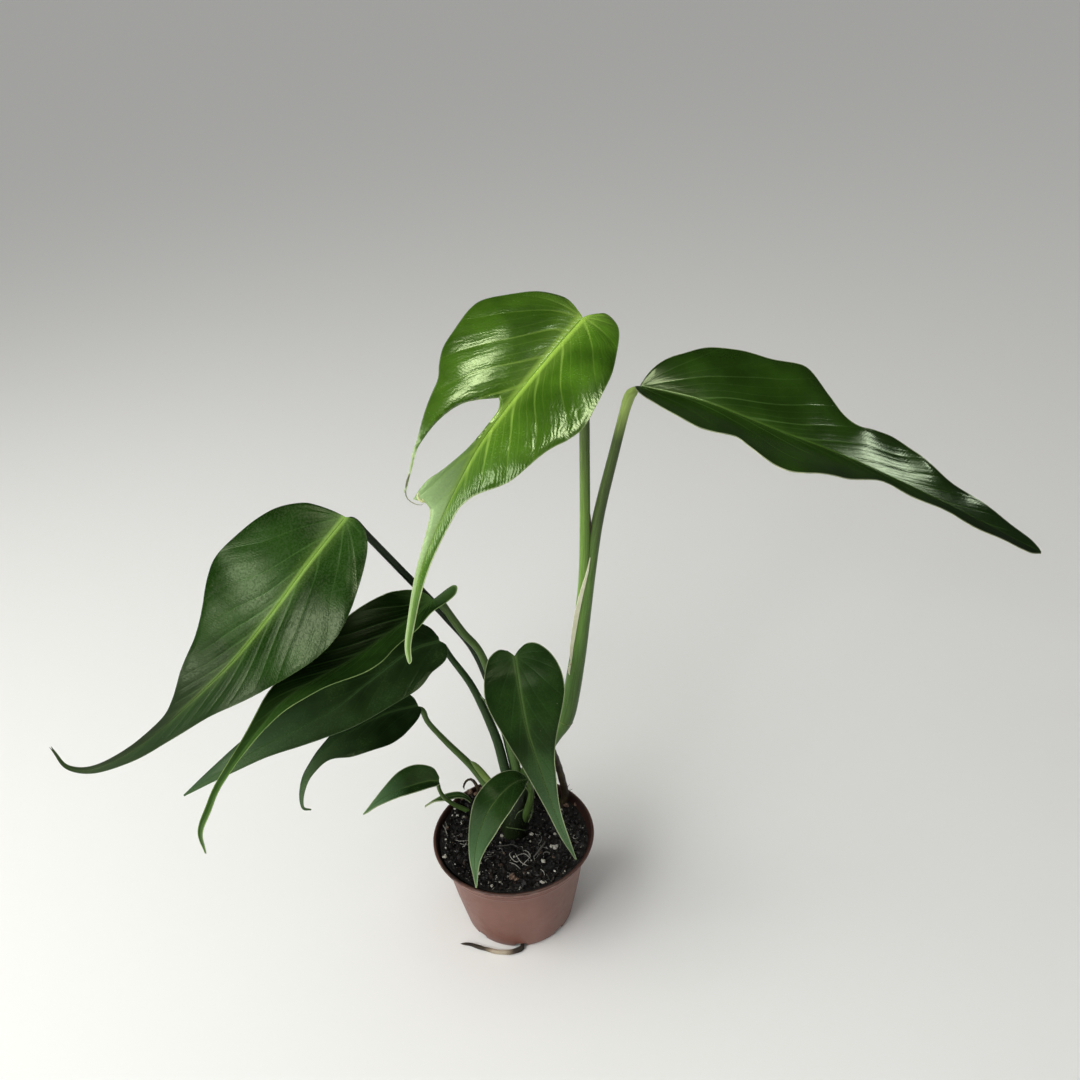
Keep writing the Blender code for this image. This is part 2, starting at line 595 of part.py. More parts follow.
def make_soil(material: bpy.types.Material) -> bpy.types.Object:
    """The root ball: follows the pot's inside and is uneven on top."""
    inset = WALL + SOIL_GAP
    waist = POT_HEIGHT - COLLAR_HEIGHT
    flare = (RIM_RADIUS - 2.5 - COLLAR_RADIUS + WALL) / (COLLAR_HEIGHT - 3.8)
    side = [(BASE_RADIUS - inset - 1.6, FLOOR + SOIL_GAP), (BASE_RADIUS - inset, FLOOR + 1.9),
            (MIDDLE_RADIUS - inset, MIDDLE_HEIGHT), (BODY_TOP_RADIUS - inset, waist - 1.6),
            (COLLAR_RADIUS - inset, waist + 1.6)]
    segments = 48
    points = []
    for radius, height in side:
        for k in range(segments):
            angle = math.tau * k / segments
            points.append((radius * math.cos(angle), radius * math.sin(angle), height))
    for radius in (40.5, 36.0, 31.5, 27.0, 22.5, 18.0, 13.5, 9.0, 4.5):
        for k in range(segments):
            angle = math.tau * k / segments
            level = soil_height(radius * math.cos(angle), radius * math.sin(angle))
            reach = radius
            if radius > 40.0:
                level = min(level, POT_HEIGHT - 2.5)
                reach = COLLAR_RADIUS - inset - 0.1 + flare * (level - waist - 1.4)
            points.append((reach * math.cos(angle), reach * math.sin(angle), level))
    rings = len(points) // segments
    faces = []
    for i in range(rings - 1):
        for k in range(segments):
            a = i * segments + k
            b = i * segments + (k + 1) % segments
            faces.append((a, b, b + segments))
            faces.append((a, b + segments, a + segments))
    points.append((0.0, 0.0, FLOOR + SOIL_GAP))
    points.append((0.0, 0.0, soil_height(0.0, 0.0)))
    top = (rings - 1) * segments
    for k in range(segments):
        turn = (k + 1) % segments
        faces.append((k, turn, len(points) - 2))
        faces.append((top + k, top + turn, len(points) - 1))
    return add_object("soil", points, faces, material)


def make_tiny_leaf(material: bpy.types.Material) -> bpy.types.Object:
    """The short scale leaf that leans over the pot's left rim."""
    path = ((-22, 25, 51), (-25, 25, 60), (-30, 25, 64), (-38, 25, 63), (-45, 26, 60),
            (-51, 27, 55))
    widths = (0.9, 1.2, 1.9, 2.2, 0.9, 0.5)
    line = smooth_line(tuple((*point, width) for point, width in zip(path, widths)), 3)
    grid = []
    for sample in line:
        centre = Vector(sample[:3])
        across = Vector((0.15, 0.90, 0.40)).normalized()
        normal = Vector((-0.25, -0.40, 0.88)).normalized()
        row = []
        for share in (1.0, 0.5, 0.0, -0.5, -1.0):
            row.append((centre + across * share * sample[3] + normal * abs(share) * 0.4, normal))
        grid.append(row)
    return slab("leaf_tiny", grid, lambda layer, row, column: BLADE / 2.0, material)


def make_stems(materials: dict) -> dict:
    """The stem with its petioles, the short petiole that has its own root, and the roots."""
    stem = tube("stem", TRUNK, 14, 2, materials["stem"])
    petioles = (PETIOLE_1, PETIOLE_3, PETIOLE_4, PETIOLE_5, PETIOLE_6, PETIOLE_8, PETIOLE_9)
    branches = [tube("petiole", path, 8, 2) for path in petioles]
    branches.append(tube("ring", NODE_RING, 14, 1))
    fuse(stem, branches)
    return {
        "stem": stem,
        "stem_small": tube("stem_small", PETIOLE_7, 8, 3, materials["stem"]),
        "root_aerial": tube("root_aerial", AERIAL_ROOT, 10, 2, materials["root"]),
        "root_loop": tube("root_loop", LOOP_ROOT, 8, 3, materials["root"]),
        "root_drain": tube("root_drain", DRAIN_ROOT, 8, 2, materials["root"]),
    }


def main() -> None:
    """Build every part of the plant and cut the seats where they meet."""
    clear_scene()
    materials = {
        "pot": make_material("pot_plastic", TERRACOTTA, 0.45),
        "soil": make_material("peat", PEAT, 0.95),
        "stem": make_material("stem_green", STEM_GREEN, 0.40),
        "root": make_material("root_brown", ROOT_BROWN, 0.80),
    }
    leaf_materials = {
        YOUNG_GREEN: make_material("leaf_young", YOUNG_GREEN, 0.32),
        MID_GREEN: make_material("leaf_mid", MID_GREEN, 0.34),
        DEEP_GREEN: make_material("leaf_deep", DEEP_GREEN, 0.38),
    }
    make_pot(materials["pot"])
    soil = make_soil(materials["soil"])
    stems = make_stems(materials)
    leaves = {leaf.name: make_leaf(leaf, leaf_materials[leaf.colour]) for leaf in LEAVES}
    tiny = make_tiny_leaf(leaf_materials[MID_GREEN])
    for name, leaf in leaves.items():
        holder = "stem_small" if name == "leaf_7" else "stem"
        cut(stems[holder], grown_copy(leaf, SEAT))
    cut(stems["root_aerial"], grown_copy(stems["stem"], SEAT))
    standing = [stems["stem"], stems["stem_small"], stems["root_aerial"], stems["root_loop"],
                stems["root_drain"], tiny]
    for item in standing:
        cut(soil, grown_copy(item, SEAT))


main()
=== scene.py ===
"""Looks of a young potted monstera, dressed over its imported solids.

Sizes in the classes are millimetres; every mesh is made in metres, in the frame of the
solids: the origin is the centre of the pot's underside, +Z is up, the viewer is at -Y.
"""

from __future__ import annotations

import logging
import math
import random
from dataclasses import dataclass
from enum import Enum
from functools import partial

import bpy
import numpy as np
from mathutils import Euler, Matrix, Vector, noise

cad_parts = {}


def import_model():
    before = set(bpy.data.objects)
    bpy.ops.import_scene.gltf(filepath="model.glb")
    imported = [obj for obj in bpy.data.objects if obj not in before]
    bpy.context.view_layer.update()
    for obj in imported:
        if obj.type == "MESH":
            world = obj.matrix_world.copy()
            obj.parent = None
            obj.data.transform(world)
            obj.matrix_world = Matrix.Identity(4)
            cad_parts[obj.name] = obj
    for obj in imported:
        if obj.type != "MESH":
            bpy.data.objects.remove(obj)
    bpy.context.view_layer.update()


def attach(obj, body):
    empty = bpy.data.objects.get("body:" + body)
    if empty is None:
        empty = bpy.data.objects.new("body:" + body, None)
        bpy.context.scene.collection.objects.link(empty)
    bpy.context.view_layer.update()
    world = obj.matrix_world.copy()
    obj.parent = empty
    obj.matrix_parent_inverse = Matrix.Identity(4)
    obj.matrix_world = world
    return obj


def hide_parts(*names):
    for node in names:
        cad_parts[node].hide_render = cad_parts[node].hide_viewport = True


MM = 0.001
LOG = logging.getLogger("monstera")

Array = np.ndarray
Item = bpy.types.Object
Material = bpy.types.Material
Socket = bpy.types.NodeSocket
# What feeds a node: a number, a hex colour, a vector or the output of another node.
Feed = float | str | tuple | Socket
Points = tuple[tuple[float, ...], ...]
Stops = tuple[tuple[float, str], ...]


def to_linear(colour: str) -> tuple[float, float, float, float]:
    """Turn an sRGB hex colour into linear red, green, blue and alpha.

    Args:
        colour: A colour such as "#7f9a32".

    Returns:
        The linear colour with alpha 1.
    """
    values = [int(colour[i:i + 2], 16) / 255.0 for i in (1, 3, 5)]
    linear = [v / 12.92 if v <= 0.04045 else ((v + 0.055) / 1.055) ** 2.4 for v in values]
    return (*linear, 1.0)


def add_node(tree: bpy.types.NodeTree, kind: str, inputs: dict | None = None,
             output: str | int | None = None, **settings: object) -> Socket | None:
    """Add one shader node, set it up and link what feeds it.

    Args:
        tree: The material's node tree.
        kind: The node's type name without its "ShaderNode" prefix.
        inputs: Input name or number to a value, a hex colour or the socket that feeds it.
        output: The output to hand back; the first usable one if left out.
        settings: Node properties; `stops` fills a colour ramp with (position, colour).

    Returns:
        The output socket, or None for a node that has none.
    """
    node = tree.nodes.new("ShaderNode" + kind)
    for name, value in settings.items():
        if name != "stops":
            setattr(node, name, value)
            continue
        ramp = node.color_ramp
        while len(ramp.elements) < len(value):
            ramp.elements.new(0.5)
        for element, (position, colour) in zip(ramp.elements, value):
            element.position = position
            element.color = to_linear(colour)
    for key, value in (inputs or {}).items():
        if isinstance(value, Socket):
            tree.links.new(value, node.inputs[key])
        else:
            node.inputs[key].default_value = to_linear(value) if isinstance(value, str) else value
    if output is not None:
        return node.outputs[output]
    usable = [socket for socket in node.outputs if socket.enabled]
    return usable[0] if usable else None


class Paint:
    """A node material in the making, with a short method for each kind of node."""

    def __init__(self, name: str) -> None:
        """Start an empty material."""
        self.material = bpy.data.materials.new(name)
        self.material.use_nodes = True
        self.material.node_tree.nodes.clear()
        self.add = partial(add_node, self.material.node_tree)

    def place(self) -> Socket:
        """Give the place on the object in metres."""
        return self.add("TexCoord", output="Object")

    def from_map(self, name: str, part: int) -> Socket:
        """Read the first (0) or second (1) number of a named UV map."""
        return self.add("SeparateXYZ", {0: self.add("UVMap", uv_map=name)}, output=part)

    def noise(self, scale: float, detail: float, at: Socket | None = None,
              rough: float = 0.5) -> Socket:
        """Add noise from 0 to 1.

        Args:
            scale: Waves for each unit of the place, so for each metre on the object.
            detail: How many finer waves are laid over the main ones.
            at: The place; the place on the object if left out.
            rough: How strong the finer waves are.

        Returns:
            The noise.
        """
        return self.add("TexNoise", {"Vector": at or self.place(), "Scale": scale,
                                     "Detail": detail, "Roughness": rough}, output=0)

    def calc(self, operation: str, *values: Feed) -> Socket:
        """Work out one number from others."""
        return self.add("Math", dict(enumerate(values)), operation=operation)

    def product(self, value: Socket, *factors: Feed) -> Socket:
        """Multiply a value by factors."""
        for factor in factors:
            value = self.calc("MULTIPLY", value, factor)
        return value

    def ramp(self, value: Socket, start: float, end: Feed, before: float = 0.0,
             after: float = 1.0, soft: bool = False) -> Socket:
        """Let an outcome change while a value runs from a start to an end.

        Args:
            value: The value that runs.
            start: Where the change starts.
            end: Where the change ends.
            before: The outcome up to the start.
            after: The outcome from the end on.
            soft: Whether the change eases in and out.

        Returns:
            The outcome.
        """
        return self.add("MapRange", {"Value": value, "From Min": start, "From Max": end,
                                     "To Min": before, "To Max": after},
                        interpolation_type="SMOOTHSTEP" if soft else "LINEAR")

    def colours(self, value: Socket, stops: Stops) -> Socket:
        """Turn a value into a colour by (value, colour) stops."""
        return self.add("ValToRGB", {0: value}, output=0, stops=stops)

    def mix(self, share: Socket, under: Feed, over: Feed) -> Socket:
        """Lay one colour over another by a share from 0 to 1."""
        return self.add("Mix", {0: share, 6: under, 7: over}, data_type="RGBA")

    def scale(self, colour: Feed, factor: Socket) -> Socket:
        """Make a colour brighter or darker by a factor."""
        return self.add("Mix", {0: 1.0, 6: colour, 7: factor}, data_type="RGBA",
                        blend_type="MULTIPLY")

    def bump(self, height: Socket, strength: float, distance: float) -> Socket:
        """Turn heights, of which 1 stands for a distance in metres, into relief."""
        return self.add("Bump", {"Strength": strength, "Distance": distance, "Height": height})

    def finish(self, inputs: dict[str, Feed]) -> Material:
        """Feed the shader and hand back the finished material."""
        self.add("OutputMaterial", {0: self.add("BsdfPrincipled", inputs)})
        return self.material


# Modelling helpers


def deselect() -> None:
    """Deselect every object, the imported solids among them."""
    bpy.ops.object.select_all(action="DESELECT")


def select_only(item: Item) -> None:
    """Make one object the only selected and active one."""
    deselect()
    item.select_set(True)
    bpy.context.view_layer.objects.active = item


def apply_modifier(item: Item, kind: str, **settings: object) -> None:
    """Add a modifier with its settings and apply it.

    Args:
        item: The object to change.
        kind: The modifier's type, such as "SOLIDIFY".
        settings: The modifier's properties.
    """
    select_only(item)
    modifier = item.modifiers.new(kind.lower(), kind)
    for name, value in settings.items():
        setattr(modifier, name, value)
    bpy.ops.object.modifier_apply(modifier=modifier.name)


def new_grid(name: str, rows: int, columns: int) -> tuple[Item, Array]:
    """Add a flat grid and read where each of its points lies.

    Args:
        name: The object's name.
        rows: Faces along the first way.
        columns: Faces along the second way.

    Returns:
        The object, and one (first, second) position from 0 to 1 for each vertex.
    """
    deselect()
    bpy.ops.mesh.primitive_grid_add(x_subdivisions=rows, y_subdivisions=columns, size=2.0)
    item = bpy.context.active_object
    item.name = name
    item.data.name = name
    return item, (points_of(item)[:, :2] + 1.0) / 2.0


def points_of(item: Item) -> Array:
    """Read a mesh's vertices as an array."""
    values = np.zeros(len(item.data.vertices) * 3)
    item.data.vertices.foreach_get("co", values)
    return values.reshape(-1, 3)


def move_points(item: Item, points: Array) -> None:
    """Put a mesh's vertices at new places, given in millimetres."""
    item.data.vertices.foreach_set("co", (points * MM).astype(np.float32).ravel())
    item.data.update()


def corner_points(item: Item) -> Array:
    """Read which vertex each face corner uses."""
    values = np.zeros(len(item.data.loops), dtype=np.int32)
    item.data.loops.foreach_get("vertex_index", values)
    return values


def write_map(item: Item, name: str, first: Array, second: Array) -> None:
    """Store two numbers for each vertex in a named UV map.

    Args:
        item: The mesh object.
        name: The UV map's name.
        first: The first number for each vertex.
        second: The second number for each vertex.
    """
    values = np.stack([first, second], axis=-1)
    layer = item.data.uv_layers.get(name) or item.data.uv_layers.new(name=name)
    layer.data.foreach_set("uv", values[corner_points(item)].astype(np.float32).ravel())


def read_map(item: Item, name: str) -> Array:
    """Read a named UV map as one pair for each vertex."""
    layer = item.data.uv_layers[name]
    corners = np.zeros(len(layer.data) * 2)
    layer.data.foreach_get("uv", corners)
    values = np.zeros((len(item.data.vertices), 2))
    values[corner_points(item)] = corners.reshape(-1, 2)
    return values


def tint_bit(item: Item, tint: float) -> None:
    """Store the tint of a whole bit in the map that its material reads."""
    tints = np.full(len(item.data.vertices), tint)
    write_map(item, "tint", tints, tints)


def face_outward(item: Item) -> None:
    """Turn the faces of a closed mesh outward."""
    select_only(item)
    bpy.ops.object.mode_set(mode="EDIT")
    bpy.ops.mesh.select_all(action="SELECT")
    bpy.ops.mesh.normals_make_consistent(inside=False)
    bpy.ops.object.mode_set(mode="OBJECT")


def close_shell(item: Item) -> None:
    """Merge the seam of a wrapped grid, close its open ends and turn its faces outward."""
    select_only(item)
    bpy.ops.object.mode_set(mode="EDIT")
    bpy.ops.mesh.select_all(action="SELECT")
    bpy.ops.mesh.remove_doubles(threshold=1e-6)
    bpy.ops.mesh.select_all(action="DESELECT")
    bpy.ops.mesh.select_mode(type="EDGE")
    bpy.ops.mesh.select_non_manifold(use_wire=False, use_multi_face=False,
                                     use_non_contiguous=False, use_verts=False)
    bpy.ops.mesh.fill()
    bpy.ops.object.mode_set(mode="OBJECT")
    face_outward(item)


def smooth(item: Item, angle: float) -> None:
    """Shade a mesh smooth except across edges sharper than an angle in degrees."""
    select_only(item)
    bpy.ops.object.shade_smooth_by_angle(angle=math.radians(angle))


def join(items: list[Item], name: str) -> Item:
    """Join objects into the first one and name it."""
    deselect()
    for item in items:
        item.select_set(True)
    bpy.context.view_layer.objects.active = items[0]
    bpy.ops.object.join()
    items[0].name = name
    items[0].data.name = name
    return items[0]


def seat(piece: Item, slot: str, *nodes: str, finish: Material | None = None) -> None:
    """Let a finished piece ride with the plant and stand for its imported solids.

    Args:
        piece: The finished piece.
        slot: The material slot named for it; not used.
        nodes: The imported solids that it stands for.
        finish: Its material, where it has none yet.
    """
    if finish is not None:
        piece.data.materials.append(finish)
    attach(piece, "root")
    if nodes:
        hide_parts(*nodes)
    LOG.info("%s: %d faces", piece.name, len(piece.data.polygons))


# Curves


def smooth_line(points: Points, steps: int) -> Array:
    """Run a Catmull-Rom curve through points of any size.

    Args:
        points: The points to pass through.
        steps: Samples for each span.

    Returns:
        The samples, one a row.
    """
    known = np.array(points, dtype=float)
    known = np.vstack([2 * known[0] - known[1], known, 2 * known[-1] - known[-2]])
    line = []
    for a, b, c, d in zip(known, known[1:], known[2:], known[3:]):
        for k in range(steps):
            t = k / steps
            line.append(0.5 * (2 * b + (c - a) * t + (2 * a - 5 * b + 4 * c - d) * t * t
                               + (3 * b - a - 3 * c + d) * t ** 3))
    line.append(known[-2])
    return np.array(line)


def reach_of(line: Array) -> Array:
    """Give the distance run along a line at each of its points."""
    return np.concatenate([[0.0], np.cumsum(np.linalg.norm(np.diff(line, axis=0), axis=1))])


def sample(line: Array, shares: Array, size: int = 0) -> Array:
    """Read a line at shares of its length.

    Args:
        line: The line's points.
        shares: Where to read it, from 0 to 1.
        size: How many leading numbers of a point count as its place; all of them if 0.

    Returns:
        One point for each share.
    """
    run = reach_of(line[:, :size] if size else line)
    wanted = np.asarray(shares) * run[-1]
    return np.stack([np.interp(wanted, run, line[:, k]) for k in range(line.shape[1])], axis=-1)


def ease(values: Array, low: float, high: float) -> Array:
    """Rise smoothly from 0 at `low` to 1 at `high`."""
    t = np.clip((values - low) / (high - low), 0.0, 1.0)
    return t * t * (3.0 - 2.0 * t)


def unit(vectors: Array) -> Array:
    """Scale vectors to length 1."""
    return vectors / np.maximum(np.linalg.norm(vectors, axis=-1, keepdims=True), 1e-12)


def ripple_noise(x: Array, y: Array, seed: float) -> Array:
    """Soft irregular waves 3 to 4 units long, between -1 and 1."""
    wave = np.sin(x * 1.7 + seed + 1.3 * np.sin(y * 0.9 + seed * 2.1))
    wave = wave + np.sin(y * 2.1 - seed * 1.3 + 1.1 * np.sin(x * 1.3 + seed))
    return wave * 0.5


# Leaves and stalks

# In turn: millimetres from one ring of a stalk to the next, radians of its groove's half
# width, millimetres that count as far away on a leaf, and radians between the first side
# veins, which fan out from the petiole.
RING_STEP = 1.6
GROOVE_WIDTH = 0.42
FAR = 99.0
FAN_STEP = math.radians(24.0)


@dataclass(frozen=True)
class Stalk:
    """A stem, petiole or root that follows a line of (x, y, z, radius) points.

    Attributes:
        name: The piece's name.
        path: The line from the soil to the top.
        sides: Faces around it.
        groove: Depth of the channel along its upper side, as a share of its radius.
        knee: Length of the thicker joint below the blade.
        swell: How much thicker that joint is, as a share of the radius.
        knobs: Height of small lumps, as a share of the radius.
    """

    name: str
    path: Points
    sides: int = 28
    groove: float = 0.0
    knee: float = 0.0
    swell: float = 0.16
    knobs: float = 0.0

    def frames(self, rows: int) -> tuple[Array, Array, Array]:
        """Give (x, y, z, radius) and two cross directions at even steps of the run."""
        line = sample(smooth_line(self.path, 10), np.linspace(0.0, 1.0, rows + 1), 3)
        ends = np.vstack([line[:1], line, line[-1:]])[:, :3]
        ahead = unit(ends[2:] - ends[:-2])
        across = np.zeros_like(ahead)
        current = np.array((0.0, -1.0, 0.0))
        for i, direction in enumerate(ahead):
            current = unit(current - direction * np.dot(current, direction))
            across[i] = current
        return line, across, np.cross(ahead, across)

    def build(self) -> Item:
        """Wrap a grid round the line, close it and store its maps."""
        length = float(reach_of(smooth_line(self.path, 10)[:, :3])[-1])
        rows = max(12, int(length / RING_STEP))
        item, where = new_grid(self.name, rows, self.sides)
        row = np.rint(where[:, 0] * rows).astype(int)
        share = np.linspace(0.0, 1.0, rows + 1)[row]
        line, across, other = (values[row] for values in self.frames(rows))
        angle = where[:, 1] * math.tau
        cosine, sine = np.cos(angle), np.sin(angle)

        radius = line[:, 3]
        if self.knee:
            from_middle = (1.0 - share) * length - self.knee * 0.45
            joint = np.exp(-(from_middle / (self.knee * 0.4)) ** 2)
            radius = radius * (1.0 + self.swell * joint)
        if self.groove:
            dip = np.exp(-((angle - math.pi) / GROOVE_WIDTH) ** 2)
            radius = radius * (1.0 - self.groove * dip)
        lumps = ripple_noise(share * length * 0.45, sine * 1.5, len(self.name))
        radius = radius * (1.0 + self.knobs * lumps)
        # Both ends are rounded over three rings.
        from_end = np.minimum(share, 1.0 - share) * rows / 3.0
        dome = np.sqrt(np.clip(1.0 - (1.0 - from_end).clip(0.0, 1.0) ** 2, 0.003, 1.0))

        reach = radius * dome
        points = line[:, :3] + across * (reach * cosine)[:, None]
        points = points + other * (reach * sine)[:, None]
        move_points(item, points)
        write_map(item, "run", share * length, share)
        write_map(item, "turn", cosine * radius, sine * radius)
        close_shell(item)
        smooth(item, 60.0)
        return item


LOBE_ENDS = (
    Stalk("lobe_thread", (
        (-23.9, -54.2, 308.2, 0.42), (-25.0, -55.4, 305.8, 0.38), (-25.8, -56.6, 303.3, 0.30),
        (-26.1, -57.6, 300.8, 0.24), (-25.5, -58.0, 298.8, 0.20), (-24.0, -58.5, 297.5, 0.18),
        (-22.3, -59.1, 296.8, 0.17), (-20.6, -59.4, 296.5, 0.17), (-19.0, -59.4, 297.3, 0.15)),
        sides=10),
    Stalk("lobe_curl", (
        (-20.9, -58.2, 301.6, 0.25), (-21.4, -58.5, 300.3, 0.45), (-21.1, -58.9, 299.2, 0.50),
        (-20.2, -59.2, 298.2, 0.50), (-19.2, -59.4, 297.9, 0.45), (-19.3, -59.3, 298.8, 0.35),
        (-20.0, -59.1, 299.3, 0.22)), sides=12),
)


@dataclass(frozen=True)
class LeafForm:
    """Where a leaf's midrib runs, which way it faces and its flattened outline.

    Attributes:
        number: The leaf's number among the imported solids.
        midrib: Points of the midrib from the petiole to the tip.
        face: The upward direction at the base, the middle and the tip.
        left: (along, out) points of one margin of the flattened blade.
        right: The same of the other margin.
        fold: How far each half rises from the midrib, in degrees.
        droop: How far each half bends down, in degrees for 10 mm.
        wave: Height of the slow waves at the margin.
        split: Pairs of (along, out, along, out) across the deep split of the right half.
        spread: Angle between the midrib and the side veins near the base, in degrees.
        closing: How fast the side veins turn towards the tip, for each millimetre.
        spacing: Distance along the midrib from one side vein to the next.
        pucker: How far the blade swells between its side veins.
        rib_width: Width of the pale midrib at the base.
        dome: How far the left and the right half swell up between midrib and margin.
    """

    number: int
    midrib: Points
    face: Points
    left: Points
    right: Points
    fold: tuple[float, float, float] = (8.0, 8.0, 10.0)
    droop: tuple[float, float, float] = (3.0, 3.0, 0.0)
    wave: float = 0.5
    split: Points = ()
    spread: float = 32.0
    closing: float = 0.02
    spacing: float = 13.0
    pucker: float = 0.12
    rib_width: float = 1.5
    dome: tuple[float, float] = (0.0, 0.0)


